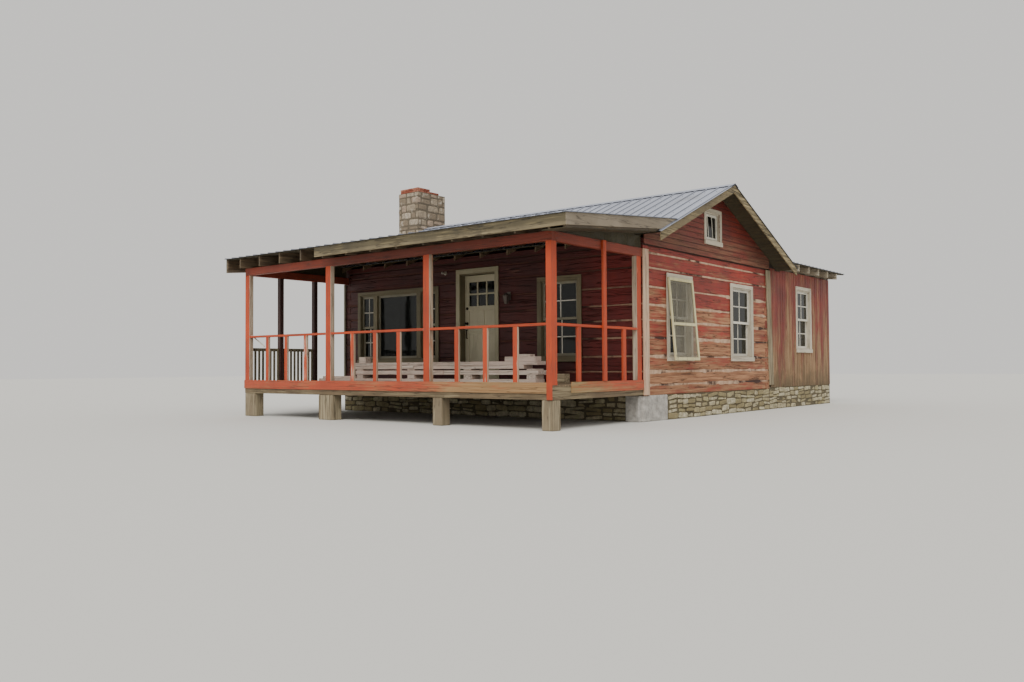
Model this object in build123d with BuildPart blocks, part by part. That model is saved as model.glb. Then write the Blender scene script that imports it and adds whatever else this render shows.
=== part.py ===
from build123d import *
import os
from math import atan, cos, degrees, radians, sin

# A small log cabin with a long front porch, a gable roof of ribbed metal, a stone chimney on the
# left gable and a plank wing at the back. Millimetres, +X to the right along the ridge, +Y to the
# back, +Z up. The origin lies on the ground under the middle of the whole building.

# Log house
house_length = 7400
house_width = 5160
log_thickness = 180
log_arris = 12
chink_gap = 26
chink_recess = 14
course_proportions = [170, 225, 255, 310, 290, 260, 300, 315, 250, 125]
logs_over_door = 138
lap_rise = 70
joint_gap = 0.5

# Levels above the lowest ground
deck_level = 650
logs_below_deck = 220
floor_above_deck = 20
floor_thickness = 38
joist_width = 50
joist_spacing = 610
foundation_thickness = 300
corner_block_length = 800
corner_block_reach = 100

# Main roof
plate_depth = 86
roof_rise = 5
roof_run = 11.7
rake_overhang = 450
front_eave = 180
rear_eave = 460
sheathing = 20
rafter_depth = 89
rafter_width = 38
rafter_spacing = 610
rake_board_depth = 138
rake_board_thickness = 22
gable_thickness = 110
gable_proud = 18
ridge_board_thickness = 25
ridge_board_depth = 140
ridge_gap = 1

# Ribbed metal sheets
metal = 3
rib_height = 19
rib_foot = 44
rib_top = 18
rib_spacing = 229
metal_drip = 20
ridge_cap_leg = 150
sheet_clearance = 1

# Chimney
chimney_depth = 700
chimney_width = 970
chimney_share = 0.53
chimney_to_window = 80
chimney_height = 5220
flue_width = 280
flue_depth = 600
roof_to_chimney = 12
brick_patch_height = 110
brick_patch_inset = 40
brick_patch_width = 730

# Porch floor and its edges
porch_depth = 2530
porch_inset = 39
deck_thickness = 25
rim_depth = 185
rim_thickness = 38
kick_board_height = 160
kick_board_above_deck = 40
kick_board_thickness = 20
kick_board_length = 5290
side_kick_start = 450
pier_width = 200
broad_pier_width = 400
corner_pier_width = 330
broad_pier_offset = 65
narrow_pier_offset = 230

# Porch posts, beams and railings
post_width = 140
post_depth = 89
corner_post_width = 95
post_bays = 3
beam_depth = 140
beam_underside = 2060
wall_post_gap = 60
lapped_post_place = 1243
lapped_post_width = 89
lapped_post_thickness = 38
end_post_places = [840, 1690]
rail_height = 890
rail_thickness = 38
rail_width = 89
baluster_width = 89
baluster_thickness = 38
balusters_per_bay = 3
end_baluster_places = [580, 1850]
picket_height = 660
picket_width = 45
picket_spacing = 88
picket_thickness = 18
picket_rail_width = 38
picket_rail_depth = 60

# Porch roof
porch_roof_lap = 390
porch_eave = 230
porch_roof_right = 430
porch_roof_left = 230
porch_rafter_depth = 184
first_rafter_inset = 147
fascia_depth = 176
left_fascia_depth = 265
fascia_thickness = 25
soffit_thickness = 12

# Rear wing
wing_length = 3660
wing_width = 3700
wing_wall = 110
wing_gap = 55
wing_below_deck = 190
wing_roof_slope = 0.095
wing_roof_over_eave = 159
wing_eave = 300
wing_rear_eave = 230
wing_rafter_depth = 140
wing_rafter_spacing = 600
first_wing_rafter = 970

# Windows: each has its width and the levels of its foot and head above the deck
frame_thickness = 25
casing_width = 90
casing_thickness = 22
casing_lap = 72
sill_height = 80
sill_proud = 40
sash_setback = 35
sash_thickness = 35
sash_stile = 45
sash_clearance = 1
glass_thickness = 4
window_width = 796
wide_window_width = 899
front_window_width = 812
side_light_width = 420
centre_light_width = 1160
mullion_width = 110
window_foot = 430
window_head = 1790
wing_window_width = 806
wing_window_foot = 630
wing_window_head = 1960
attic_width = 580
attic_height = 530
attic_over_logs = 310
attic_offset = 40
storm_width = 897
storm_height = 1430
storm_offset = 20
storm_drop = 5
storm_thickness = 28
storm_stile = 50
storm_angle = 5
storm_rail_place = 800
screen_thickness = 2

# Places of the openings, as shares of their wall's length
window_one_share = 0.242
window_two_share = 0.7405
front_window_share = 0.2285
door_share = 0.4865
picture_window_share = 0.7811
rear_window_share = 0.743
wing_window_share = 0.542

# Front door
door_width = 865
door_height = 2000
door_thickness = 42
door_gap = 5
door_jamb = 30
door_head = 112
door_casing_lap = 62
light_stile = 105
light_bar = 32
light_height = 215
light_foot = 1410
panel_depth = 12
lower_panel = (190, 880)
upper_panel = (1010, 1320)
knob_height = 1080
knob_inset = 60
bolt_above_knob = 290
handle_below_knob = 120
handle_length = 170

# Hinges
pin_radius = 3.5
knuckle_radius = 7
hinge_height = 100
hinge_inset = 180
hinge_leaf = 2
knuckle_gap = 0.3
running_clearance = 0.05
pin_stand_off = 1

# Smaller pieces
corner_board_width = 180
corner_board_lap = 20
leaning_board_width = 208
leaning_board_lean = 125
leaning_board_place = 90
leaning_board_foot = 140
leaning_board_height = 2400
bench_length = 5600
bench_width = 280
bench_from_right = 1300
bench_from_wall = 1000
bench_blocks = 4
bench_block_width = 200
bench_layers = [(0, 60), (130, 210), (230, 360)]
lantern_place = 2820
lantern_height = 1570
lantern_width = 90
lantern_body_height = 150

os.makedirs("parts", exist_ok=True)

# Places that follow from the sizes
span_x = chimney_depth + house_length + rake_overhang + metal_drip
right_face = span_x / 2 - rake_overhang - metal_drip
left_face = right_face - house_length
front_overhang = porch_eave + fascia_thickness + metal_drip
span_y = front_overhang + porch_depth + house_width + wing_length + wing_rear_eave + metal_drip
front_face = -span_y / 2 + front_overhang + porch_depth
rear_face = front_face + house_width
wing_rear = rear_face + wing_length
wing_left = right_face - wing_width
ridge_y = (front_face + rear_face) / 2
porch_front = front_face - porch_depth
porch_left = left_face + porch_inset
inside_left = left_face + log_thickness
inside_right = right_face - log_thickness
inside_front = front_face + log_thickness
inside_rear = rear_face - log_thickness
log_base = deck_level - logs_below_deck
wing_base = deck_level - wing_below_deck
floor_level = deck_level + floor_above_deck
floor_underside = floor_level - floor_thickness
slab_foot = floor_level + door_gap
slab_top = slab_foot + door_height
door_opening_top = slab_top + door_gap + door_head
wall_top = door_opening_top + logs_over_door
half_chink = chink_gap / 2
course_lines = [log_base]
for proportion in course_proportions:
    rise = proportion / sum(course_proportions) * (wall_top - log_base)
    course_lines.append(course_lines[-1] + rise)
slope = roof_rise / roof_run
pitch = degrees(atan(slope))


def across_roof(thickness):
    """Height of a layer of this thickness, measured straight up through the slope."""
    return thickness / cos(radians(pitch))


boards_under = across_roof(sheathing)
rafter_drop = across_roof(sheathing + rafter_depth)
metal_cover = across_roof(rib_height) + sheet_clearance
plate_foot = wall_top + half_chink
ridge_height = plate_foot + plate_depth + rafter_drop + slope * house_width / 2
front_eave_y = front_face - front_eave
rear_eave_y = rear_face + rear_eave


def roof_height(y):
    """Top of the main roof's boards at a place across the house."""
    return ridge_height - slope * abs(y - ridge_y)


porch_eave_top = deck_level + beam_underside + beam_depth + porch_rafter_depth + sheathing
porch_meeting = roof_height(front_face + porch_roof_lap) + metal_cover
porch_roof_slope = (porch_meeting - porch_eave_top) / (porch_depth + porch_roof_lap)
wing_eave_top = roof_height(rear_eave_y) + wing_roof_over_eave


def porch_roof_height(y):
    """Top of the porch roof's boards at a place across the porch."""
    return porch_eave_top + porch_roof_slope * (y - porch_front)


def wing_roof_height(x):
    """Top of the wing roof's boards, which fall to the right."""
    return wing_eave_top + wing_roof_slope * (right_face + wing_eave - x)


def timber(x0, x1, y0, y1, z0, z1, mode=Mode.ADD):
    """One squared timber between two corners."""
    with Locations(((x0 + x1) / 2, (y0 + y1) / 2, (z0 + z1) / 2)):
        piece = Box(x1 - x0, y1 - y0, z1 - z0, mode=mode)
    return piece


def panel(u0, u1, v0, v1, mode=Mode.ADD):
    """One rectangle between two corners of the sketch in hand."""
    with Locations(((u0 + u1) / 2, (v0 + v1) / 2)):
        Rectangle(u1 - u0, v1 - v0, mode=mode)


def save(piece, label):
    """Names a finished piece and writes it."""
    piece.part.label = label
    export_step(piece.part, f"parts/{label}.step")


def opening(wall, centre, width, bottom=window_foot, top=window_head):
    """One rough opening: its wall, its middle along the wall and its levels above the deck."""
    return {"wall": wall, "start": centre - width / 2, "end": centre + width / 2,
            "bottom": deck_level + bottom, "top": deck_level + top}


chimney_centre = front_face + chimney_share * house_width
chimney_front = chimney_centre - chimney_width / 2
chimney_rear = chimney_centre + chimney_width / 2
window_one = front_face + window_one_share * house_width
window_two = front_face + window_two_share * house_width
beside_chimney = chimney_rear + chimney_to_window + casing_lap + wide_window_width / 2
picture_window = right_face - picture_window_share * house_length
picture_width = centre_light_width + 2 * side_light_width + 2 * mullion_width
door_centre = right_face - door_share * house_length
door_opening_width = door_width + 2 * (door_gap + door_jamb)
wing_window = rear_face + wing_window_share * wing_length
windows = [
    opening("right", window_one, window_width),
    opening("right", window_two, wide_window_width),
    opening("left", window_one, window_width),
    opening("left", beside_chimney, wide_window_width),
    opening("front", right_face - front_window_share * house_length, front_window_width),
    opening("front", picture_window, picture_width),
    opening("rear", right_face - rear_window_share * house_length, front_window_width),
]
wing_windows = [
    opening(wall, place, wing_window_width, wing_window_foot, wing_window_head)
    for wall, place in (("wing_right", wing_window), ("wing_left", wing_window),
                        ("wing_rear", (wing_left + right_face) / 2))
]
attic_foot = wall_top + attic_over_logs - deck_level
attic_window = opening("attic", ridge_y - attic_offset, attic_width, attic_foot,
                       attic_foot + attic_height)
door_opening = opening("front", door_centre, door_opening_width, floor_underside - deck_level,
                       door_opening_top - deck_level)

# Log walls: hewn logs in courses. Where two walls cross, each log keeps half its height, cut on a
# slope that falls towards the room, so that the corner can't be drawn apart.
walls = {
    "front": (Plane.XZ.offset(-front_face), -log_thickness, left_face, right_face, Axis.X),
    "rear": (Plane.XZ.offset(-rear_face), log_thickness, left_face, right_face, Axis.X),
    "left": (Plane.YZ.offset(left_face), log_thickness, front_face, rear_face, Axis.Y),
    "right": (Plane.YZ.offset(right_face), -log_thickness, front_face, rear_face, Axis.Y),
}


def cut_laps(x_inner, x_outer, keep_lower, y0):
    """Cuts every log's half away in one corner, along a plane that rises outwards."""
    with BuildSketch(Plane.XZ.offset(-y0)) as waste:
        for lower, upper in zip(course_lines, course_lines[1:]):
            middle = (lower + upper) / 2
            edge = upper if keep_lower else lower
            with BuildLine():
                Polyline((x_inner, middle - lap_rise / 2), (x_outer, middle + lap_rise / 2),
                         (x_outer, edge), (x_inner, edge), close=True)
            make_face()
    extrude(waste.sketch, amount=-log_thickness, mode=Mode.SUBTRACT)


def log_wall(wall):
    """One wall's separate logs, with their arrises taken off, their openings and their laps."""
    plane, inward, start, end, along = walls[wall]
    with BuildPart() as logs:
        with BuildSketch(plane):
            for course, lower in enumerate(course_lines[:-1]):
                panel(start, end, lower + (half_chink if course else 0),
                      course_lines[course + 1] - half_chink)
        extrude(amount=inward)
        chamfer(logs.edges().filter_by(along), log_arris)
        with BuildSketch(plane) as holes:
            for hole in windows + [door_opening]:
                if hole["wall"] == wall:
                    panel(hole["start"], hole["end"], hole["bottom"], hole["top"])
        if holes.sketch.faces():
            extrude(holes.sketch, amount=inward, mode=Mode.SUBTRACT)
        if along == Axis.X:
            y0 = front_face if wall == "front" else inside_rear
            cut_laps(inside_left, left_face, True, y0)
            cut_laps(inside_right, right_face, True, y0)
        else:
            inner, outer = (inside_left, left_face) if wall == "left" else (inside_right, right_face)
            cut_laps(inner, outer, False, front_face)
            cut_laps(inner, outer, False, inside_rear)
    return logs


def chink_wall(wall):
    """The strips between one wall's logs, set back from both faces."""
    plane, inward, start, end, along = walls[wall]
    long_wall = along == Axis.X
    inset = chink_recess if long_wall else log_thickness
    side = 1 if inward > 0 else -1
    with BuildPart() as strips:
        with BuildSketch(plane) as outline:
            for line in course_lines[1:]:
                panel(start + inset, end - inset, line - half_chink, line + half_chink)
            for hole in windows + [door_opening]:
                if hole["wall"] == wall:
                    panel(hole["start"], hole["end"], hole["bottom"], hole["top"], Mode.SUBTRACT)
        with Locations(plane.z_dir * side * chink_recess):
            add(extrude(outline.sketch, amount=inward - side * 2 * chink_recess,
                        mode=Mode.PRIVATE))
    return strips


for wall in walls:
    save(log_wall(wall), f"{wall}_wall_logs")
strips = [chink_wall(wall).part for wall in walls]
with BuildPart() as chinking:
    add(strips)
save(chinking, "chinking")

# Foundation: rubble stone walls under the logs and the wing, and a cast block at the front corner
block_rear = front_face + corner_block_length
foundation_inside = right_face - foundation_thickness
with BuildPart() as foundation_walls:
    timber(left_face, foundation_inside - joint_gap, front_face,
           front_face + foundation_thickness, 0, log_base)
    timber(left_face, right_face, rear_face - foundation_thickness, rear_face, 0, log_base)
    timber(left_face, left_face + foundation_thickness,
           front_face + foundation_thickness + joint_gap,
           rear_face - foundation_thickness - joint_gap, 0, log_base)
    timber(foundation_inside, right_face, block_rear + joint_gap,
           rear_face - foundation_thickness - joint_gap, 0, log_base)
    for x0 in (wing_left, foundation_inside):
        timber(x0, x0 + foundation_thickness, rear_face + joint_gap,
               wing_rear - foundation_thickness - joint_gap, 0, wing_base)
    timber(wing_left, right_face, wing_rear - foundation_thickness, wing_rear, 0, wing_base)
save(foundation_walls, "foundation_walls")

with BuildPart() as corner_block:
    timber(foundation_inside, right_face, front_face, block_rear, 0, log_base)
    timber(foundation_inside, right_face - rim_thickness, front_face - corner_block_reach,
           front_face, 0, log_base)
save(corner_block, "corner_block")

# Floors, with a tongue through the doorway
door_left = door_opening["start"]
door_right = door_opening["end"]
with BuildPart() as floors:
    timber(inside_left, inside_right, inside_front, inside_rear, floor_underside, floor_level)
    timber(door_left, door_right, front_face, inside_front, floor_underside, floor_level)
    timber(wing_left + wing_wall, right_face - wing_wall, rear_face, wing_rear - wing_wall,
           floor_underside, floor_level)
save(floors, "floors")


def joists(x0, x1, y0, y1, z0, z1, width):
    """A row of joists running front to back, the outer two at the ends of the row."""
    count = int((x1 - x0 - width) // joist_spacing)
    with Locations(((x0 + x1) / 2, (y0 + y1) / 2, (z0 + z1) / 2)):
        with GridLocations((x1 - x0 - width) / count, 0, count + 1, 1):
            Box(width, y1 - y0, z1 - z0)


deck_underside = deck_level - deck_thickness
rim_foot = deck_underside - rim_depth
with BuildPart() as floor_joists:
    joists(inside_left, inside_right, inside_front, inside_rear, log_base, floor_underside,
           joist_width)
    joists(wing_left + wing_wall, right_face - wing_wall, rear_face, wing_rear - wing_wall,
           wing_base, floor_underside, joist_width)
    joists(porch_left + joist_spacing, right_face - joist_spacing,
           porch_front + rim_thickness, front_face, rim_foot, deck_underside, rim_thickness)
save(floor_joists, "floor_joists")

# Wall plates with tops cut to the roof's slope, which the rafters lie on
with BuildPart() as wall_plates:
    for outer, inner in ((front_face, inside_front), (rear_face, inside_rear)):
        with BuildSketch(Plane.YZ.offset(left_face)):
            with BuildLine():
                Polyline((outer, plate_foot), (inner, plate_foot),
                         (inner, roof_height(inner) - rafter_drop),
                         (outer, roof_height(outer) - rafter_drop), close=True)
            make_face()
        extrude(amount=house_length + gable_proud)
save(wall_plates, "wall_plates")

# Gable walls above the end logs, the right one with its attic window
with BuildPart() as gable_siding:
    for x0, holes in ((right_face + gable_proud - gable_thickness, [attic_window]),
                      (left_face, [])):
        with BuildSketch(Plane.YZ.offset(x0)):
            with BuildLine():
                Polyline((inside_front, plate_foot), (inside_rear, plate_foot),
                         (inside_rear, roof_height(inside_rear) - boards_under),
                         (ridge_y, ridge_height - boards_under),
                         (inside_front, roof_height(inside_front) - boards_under), close=True)
            make_face()
            for hole in holes:
                panel(hole["start"], hole["end"], hole["bottom"], hole["top"], Mode.SUBTRACT)
        extrude(amount=gable_thickness)
save(gable_siding, "gable_siding")

# Rafters in pairs against a ridge board
rafter_start = left_face + gable_thickness + rafter_width
rafter_end = right_face + gable_proud - gable_thickness - rafter_width
rafter_count = int((rafter_end - rafter_start) // rafter_spacing) + 1
rafter_step = (rafter_end - rafter_start) / (rafter_count - 1)
ridge_board_top = roof_height(ridge_y + ridge_board_thickness / 2) - boards_under
with BuildPart() as main_rafters:
    for side, eave_y in ((-1, front_eave_y), (1, rear_eave_y)):
        ridge_face = ridge_y + side * (ridge_board_thickness / 2 + joint_gap)
        with BuildSketch(Plane.YZ.offset(rafter_start - rafter_width / 2)) as outline:
            with BuildLine():
                Polyline((eave_y, roof_height(eave_y) - boards_under),
                         (ridge_face, roof_height(ridge_face) - boards_under),
                         (ridge_face, roof_height(ridge_face) - rafter_drop),
                         (eave_y, roof_height(eave_y) - rafter_drop), close=True)
            make_face()
        rafter = extrude(outline.sketch, amount=rafter_width, mode=Mode.PRIVATE)
        with Locations([(index * rafter_step, 0, 0) for index in range(rafter_count)]):
            add(rafter)
    timber(left_face + gable_thickness, right_face + gable_proud - gable_thickness,
           ridge_y - ridge_board_thickness / 2, ridge_y + ridge_board_thickness / 2,
           ridge_board_top - ridge_board_depth, ridge_board_top)
save(main_rafters, "main_rafters")

# Main roof: boarding, ribbed metal and a ridge cap, notched round the chimney
roof_left = left_face - rake_overhang
roof_right = right_face + rake_overhang
inner_left = roof_left + rake_board_thickness
inner_right = roof_right - rake_board_thickness


def notch_for_chimney():
    """Clears the roof away round the chimney."""
    timber(left_face - rake_overhang - metal_drip, left_face, chimney_front - roof_to_chimney,
           chimney_rear + roof_to_chimney, 0, chimney_height, Mode.SUBTRACT)


def roof_strip(x0, width, side, eave_y, depth):
    """A board or boarding on one slope, from its top down through its depth."""
    ridge_edge = ridge_y + side * ridge_gap
    with BuildSketch(Plane.YZ.offset(x0)) as outline:
        with BuildLine():
            Polyline((eave_y, roof_height(eave_y)), (ridge_edge, roof_height(ridge_edge)),
                     (ridge_edge, roof_height(ridge_edge) - across_roof(depth)),
                     (eave_y, roof_height(eave_y) - across_roof(depth)), close=True)
        make_face()
    extrude(outline.sketch, amount=width)


def ribbed_sheet(section, u0, u1, length):
    """Metal with trapezoid ribs, drawn across the ribs and run down its slope."""
    ribs = int((u1 - u0 - rib_foot) // rib_spacing) + 1
    rib_angle = degrees(atan(2 * rib_height / (rib_foot - rib_top)))
    with BuildSketch(section) as profile:
        panel(u0, u1, 0, metal)
        with Locations(((u0 + u1) / 2, 0)):
            with GridLocations(rib_spacing, 0, ribs, 1):
                Trapezoid(rib_foot, rib_height, rib_angle, align=(Align.CENTER, Align.MIN))
    extrude(profile.sketch, amount=length)


with BuildPart() as main_boards:
    for side, eave_y in ((-1, front_eave_y), (1, rear_eave_y)):
        roof_strip(inner_left, inner_right - inner_left, side, eave_y, sheathing)
    notch_for_chimney()

with BuildPart() as rake_boards:
    for x0 in (roof_left, inner_right):
        for side, eave_y in ((-1, front_eave_y), (1, rear_eave_y)):
            roof_strip(x0, rake_board_thickness, side, eave_y, rake_board_depth)
    notch_for_chimney()
save(rake_boards, "rake_boards")

with BuildPart() as main_sheets:
    for side, eave_y in ((-1, front_eave_y), (1, rear_eave_y)):
        ridge_edge = ridge_y + side * ridge_gap
        edges = sorted((-side * (roof_left - metal_drip), -side * (roof_right + metal_drip)))
        section = Plane(origin=(0, ridge_edge, roof_height(ridge_edge)), x_dir=(-side, 0, 0),
                        z_dir=(0, side * cos(radians(pitch)), -sin(radians(pitch))))
        ribbed_sheet(section, edges[0], edges[1],
                     across_roof(abs(eave_y - ridge_edge) + metal_drip))
    notch_for_chimney()

with BuildPart() as ridge_cap:
    cap_reach = ridge_cap_leg * cos(radians(pitch))
    cap_top = ridge_height + across_roof(rib_height)
    cap_foot = cap_top - cap_reach * slope
    with BuildSketch(Plane.YZ.offset(left_face)):
        with BuildLine():
            Polyline((ridge_y - cap_reach, cap_foot), (ridge_y, cap_top),
                     (ridge_y + cap_reach, cap_foot), (ridge_y + cap_reach, cap_foot + metal),
                     (ridge_y, cap_top + metal), (ridge_y - cap_reach, cap_foot + metal),
                     close=True)
        make_face()
    extrude(amount=house_length + rake_overhang + metal_drip)
save(ridge_cap, "ridge_cap")

# Stone chimney against the left gable, with a flue, and a patch of old brick on its top
stack_top = chimney_height - brick_patch_height
chimney_left = left_face - chimney_depth
flue_x = left_face - chimney_depth / 2
flue_y = (chimney_front + chimney_rear) / 2


def flue(z0, z1):
    """The square flue between two levels."""
    timber(flue_x - flue_width / 2, flue_x + flue_width / 2, flue_y - flue_width / 2,
           flue_y + flue_width / 2, z0, z1, Mode.SUBTRACT)


with BuildPart() as chimney:
    timber(chimney_left, left_face, chimney_front, chimney_rear, 0, stack_top)
    flue(stack_top - flue_depth, stack_top)
save(chimney, "chimney")

with BuildPart() as chimney_cap:
    patch_front = chimney_front + brick_patch_inset
    timber(chimney_left + brick_patch_inset, left_face - brick_patch_inset, patch_front,
           patch_front + brick_patch_width, stack_top, chimney_height)
    flue(stack_top, chimney_height)
save(chimney_cap, "chimney_cap")

# Porch floor, with rims under its edges
with BuildPart() as porch_deck:
    timber(porch_left, right_face, porch_front, front_face, deck_underside, deck_level)
save(porch_deck, "porch_deck")

with BuildPart() as porch_rims:
    timber(porch_left + rim_thickness + joint_gap, right_face - rim_thickness - joint_gap,
           porch_front, porch_front + rim_thickness, rim_foot, deck_underside)
    for x0 in (porch_left, right_face - rim_thickness):
        timber(x0, x0 + rim_thickness, porch_front, front_face, rim_foot, deck_underside)
save(porch_rims, "porch_rims")

# Front posts at equal bays, with a pier near the foot of each
bay = (right_face - porch_left - post_width) / post_bays
post_places = [porch_left + post_width / 2 + index * bay for index in range(post_bays)]
corner_post_left = right_face - corner_post_width
piers = [
    (porch_left, porch_left + corner_pier_width),
    (post_places[1] - broad_pier_offset - broad_pier_width / 2,
     post_places[1] - broad_pier_offset + broad_pier_width / 2),
    (post_places[2] + narrow_pier_offset - pier_width / 2,
     post_places[2] + narrow_pier_offset + pier_width / 2),
    (right_face - pier_width, right_face),
]
with BuildPart() as porch_piers:
    for x0, x1 in piers:
        timber(x0, x1, porch_front, porch_front + pier_width, 0, rim_foot)
save(porch_piers, "porch_piers")

# Kick boards nailed over the rims, the front one in two lengths
kick_top = deck_level + kick_board_above_deck
kick_foot = kick_top - kick_board_height
kick_joint = corner_post_left - kick_board_length
kick_face = porch_front - kick_board_thickness
with BuildPart() as kick_boards:
    timber(porch_left, kick_joint - joint_gap, kick_face, porch_front, kick_foot, kick_top)
    timber(kick_joint, corner_post_left, kick_face, porch_front, kick_foot, kick_top)
    timber(right_face, right_face + kick_board_thickness, porch_front + side_kick_start,
           front_face - corner_board_lap, kick_foot, kick_top)
save(kick_boards, "kick_boards")

# Porch posts: three on the deck, a corner post that runs down in front of the rim, a post at the
# wall, one nailed outside the right end beam, and two at the left end
beam_foot = deck_level + beam_underside
beam_top = beam_foot + beam_depth
wall_post_front = front_face - wall_post_gap - post_width
lapped_post_y = front_face - lapped_post_place
with BuildPart() as porch_posts:
    for x in post_places:
        timber(x - post_width / 2, x + post_width / 2, porch_front, porch_front + post_depth,
               deck_level, beam_foot)
    timber(right_face - post_depth, right_face, wall_post_front, wall_post_front + post_width,
           deck_level, beam_foot)
    for place in end_post_places:
        timber(porch_left, porch_left + post_depth, front_face - place - post_depth,
               front_face - place, deck_level, beam_foot)
    timber(right_face, right_face + lapped_post_thickness, lapped_post_y,
           lapped_post_y + lapped_post_width, kick_top, beam_top)
    timber(corner_post_left, right_face, kick_face, kick_face + post_width, deck_level, beam_foot)
    timber(corner_post_left, right_face, kick_face, porch_front, rim_foot, deck_level)
save(porch_posts, "porch_posts")

# Porch beams
with BuildPart() as porch_beams:
    timber(porch_left, right_face, porch_front, porch_front + post_depth, beam_foot, beam_top)
    for x0 in (porch_left, right_face - post_depth):
        timber(x0, x0 + post_depth, porch_front + post_depth + joint_gap, front_face,
               beam_foot, beam_top)
save(porch_beams, "porch_beams")

# Front and right railing: a flat top rail on wide, widely spaced balusters
rail_top = deck_level + rail_height
rail_foot = rail_top - rail_thickness
bay_starts = [x + post_width / 2 for x in post_places]
bay_ends = [x - post_width / 2 for x in post_places[1:]] + [corner_post_left]
with BuildPart() as porch_railing:
    for start, end in zip(bay_starts, bay_ends):
        timber(start, end, porch_front, porch_front + rail_width, rail_foot, rail_top)
        step = (end - start) / (balusters_per_bay + 1)
        for index in range(1, balusters_per_bay + 1):
            x = start + index * step
            timber(x - baluster_width / 2, x + baluster_width / 2, porch_front,
                   porch_front + baluster_thickness, deck_level, rail_foot - joint_gap)
    timber(right_face - rail_width, right_face, kick_face + post_width, wall_post_front,
           rail_foot, rail_top)
    for place in end_baluster_places:
        y = front_face - place
        timber(right_face - baluster_thickness, right_face, y - baluster_width / 2,
               y + baluster_width / 2, deck_level, rail_foot - joint_gap)
save(porch_railing, "porch_railing")

# Left end railing: close pickets between two rails, from the corner post to the middle post
picket_top = deck_level + picket_height
picket_start = porch_front + post_depth
picket_end = front_face - end_post_places[-1] - post_depth
second_start = front_face - end_post_places[-1]
second_end = front_face - end_post_places[0] - post_depth
with BuildPart() as end_pickets:
    for start, end in ((picket_start, picket_end), (second_start, second_end)):
        timber(porch_left, porch_left + picket_rail_width, start, end,
               picket_top - picket_rail_depth, picket_top)
        count = int((end - start - picket_width) // picket_spacing) + 1
        middle = (start + end) / 2
        with Locations((porch_left + picket_rail_width + joint_gap + picket_thickness / 2,
                        middle, (deck_level + picket_top) / 2)):
            with GridLocations(0, picket_spacing, 1, count):
                Box(picket_thickness, picket_width, picket_height)
save(end_pickets, "end_pickets")

# Porch roof, lapped over the front of the main roof
porch_eave_y = porch_front - porch_eave


def meets_main_roof(offset):
    """Where a layer of the porch roof comes down on the ribs of the main roof."""
    top = porch_roof_height(0) + offset
    main = ridge_height + metal_cover - slope * ridge_y
    return (top - main) / (slope - porch_roof_slope)


def porch_layer(eave_y, lower, upper, x0, width, mode=Mode.ADD):
    """A layer of the porch roof, its upper end cut to lie on the main roof."""
    with BuildSketch(Plane.YZ.offset(x0)) as outline:
        with BuildLine():
            Polyline((eave_y, porch_roof_height(eave_y) + lower),
                     (meets_main_roof(lower), porch_roof_height(meets_main_roof(lower)) + lower),
                     (meets_main_roof(upper), porch_roof_height(meets_main_roof(upper)) + upper),
                     (eave_y, porch_roof_height(eave_y) + upper), close=True)
        make_face()
    return extrude(outline.sketch, amount=width, mode=mode)


def cut_by_main_roof(eave_y):
    """Takes away what lies under the metal of one slope of the main roof."""
    reach = metal_drip if eave_y > ridge_y else -metal_drip
    lip = eave_y + 2 * reach
    with BuildSketch(Plane.YZ.offset(roof_left - rake_overhang)) as below:
        with BuildLine():
            Polyline((ridge_y, ridge_height + metal_cover), (lip, roof_height(lip) + metal_cover),
                     (lip, 0), (ridge_y, 0), close=True)
        make_face()
    extrude(below.sketch, amount=span_x + rake_overhang, mode=Mode.SUBTRACT)


porch_roof_x0 = left_face - porch_roof_left
porch_roof_x1 = right_face + porch_roof_right - fascia_thickness
rafter_underside = -sheathing - porch_rafter_depth
porch_rafter_places = [porch_roof_x0, porch_roof_x1 - rafter_width]
x = porch_left + first_rafter_inset
while x < porch_roof_x1 - 2 * rafter_width:
    porch_rafter_places.append(x)
    x = x + rafter_spacing
with BuildPart() as porch_rafters:
    rafter = porch_layer(porch_eave_y, rafter_underside, -sheathing, 0, rafter_width,
                         Mode.PRIVATE)
    with Locations([(x, 0, 0) for x in porch_rafter_places]):
        add(rafter)
save(porch_rafters, "porch_rafters")

with BuildPart() as porch_boards:
    porch_layer(porch_eave_y, -sheathing, 0, porch_roof_x0, porch_roof_x1 - porch_roof_x0)

porch_pitch = atan(porch_roof_slope)
sheet_top_y = meets_main_roof(0) + rib_spacing
sheet_eave_y = porch_eave_y - fascia_thickness - metal_drip
with BuildPart() as porch_sheets:
    section = Plane(origin=(0, sheet_top_y, porch_roof_height(sheet_top_y)), x_dir=(1, 0, 0),
                    z_dir=(0, -cos(porch_pitch), -sin(porch_pitch)))
    ribbed_sheet(section, porch_roof_x0 - fascia_thickness - metal_drip,
                 porch_roof_x1 + fascia_thickness + metal_drip,
                 (sheet_top_y - sheet_eave_y) / cos(porch_pitch))
    cut_by_main_roof(front_eave_y)

# Porch fascias: along the front of the two right bays, down the right end, and a deeper one down
# the left end, with boards under the right end's overhang
fascia_top = porch_roof_height(porch_eave_y - fascia_thickness)
fascia_start = post_places[1] - post_width / 2
with BuildPart() as porch_fascias:
    timber(fascia_start, right_face + porch_roof_right, porch_eave_y - fascia_thickness,
           porch_eave_y, fascia_top - fascia_depth, fascia_top)
    porch_layer(porch_eave_y + joint_gap, -fascia_depth, 0, porch_roof_x1, fascia_thickness)
    porch_layer(porch_eave_y, -left_fascia_depth, 0, porch_roof_x0 - fascia_thickness,
                fascia_thickness)
save(porch_fascias, "porch_fascias")

with BuildPart() as porch_soffit:
    porch_layer(porch_eave_y, rafter_underside - soffit_thickness, rafter_underside, right_face,
                porch_roof_x1 - right_face)
save(porch_soffit, "porch_soffit")

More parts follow.
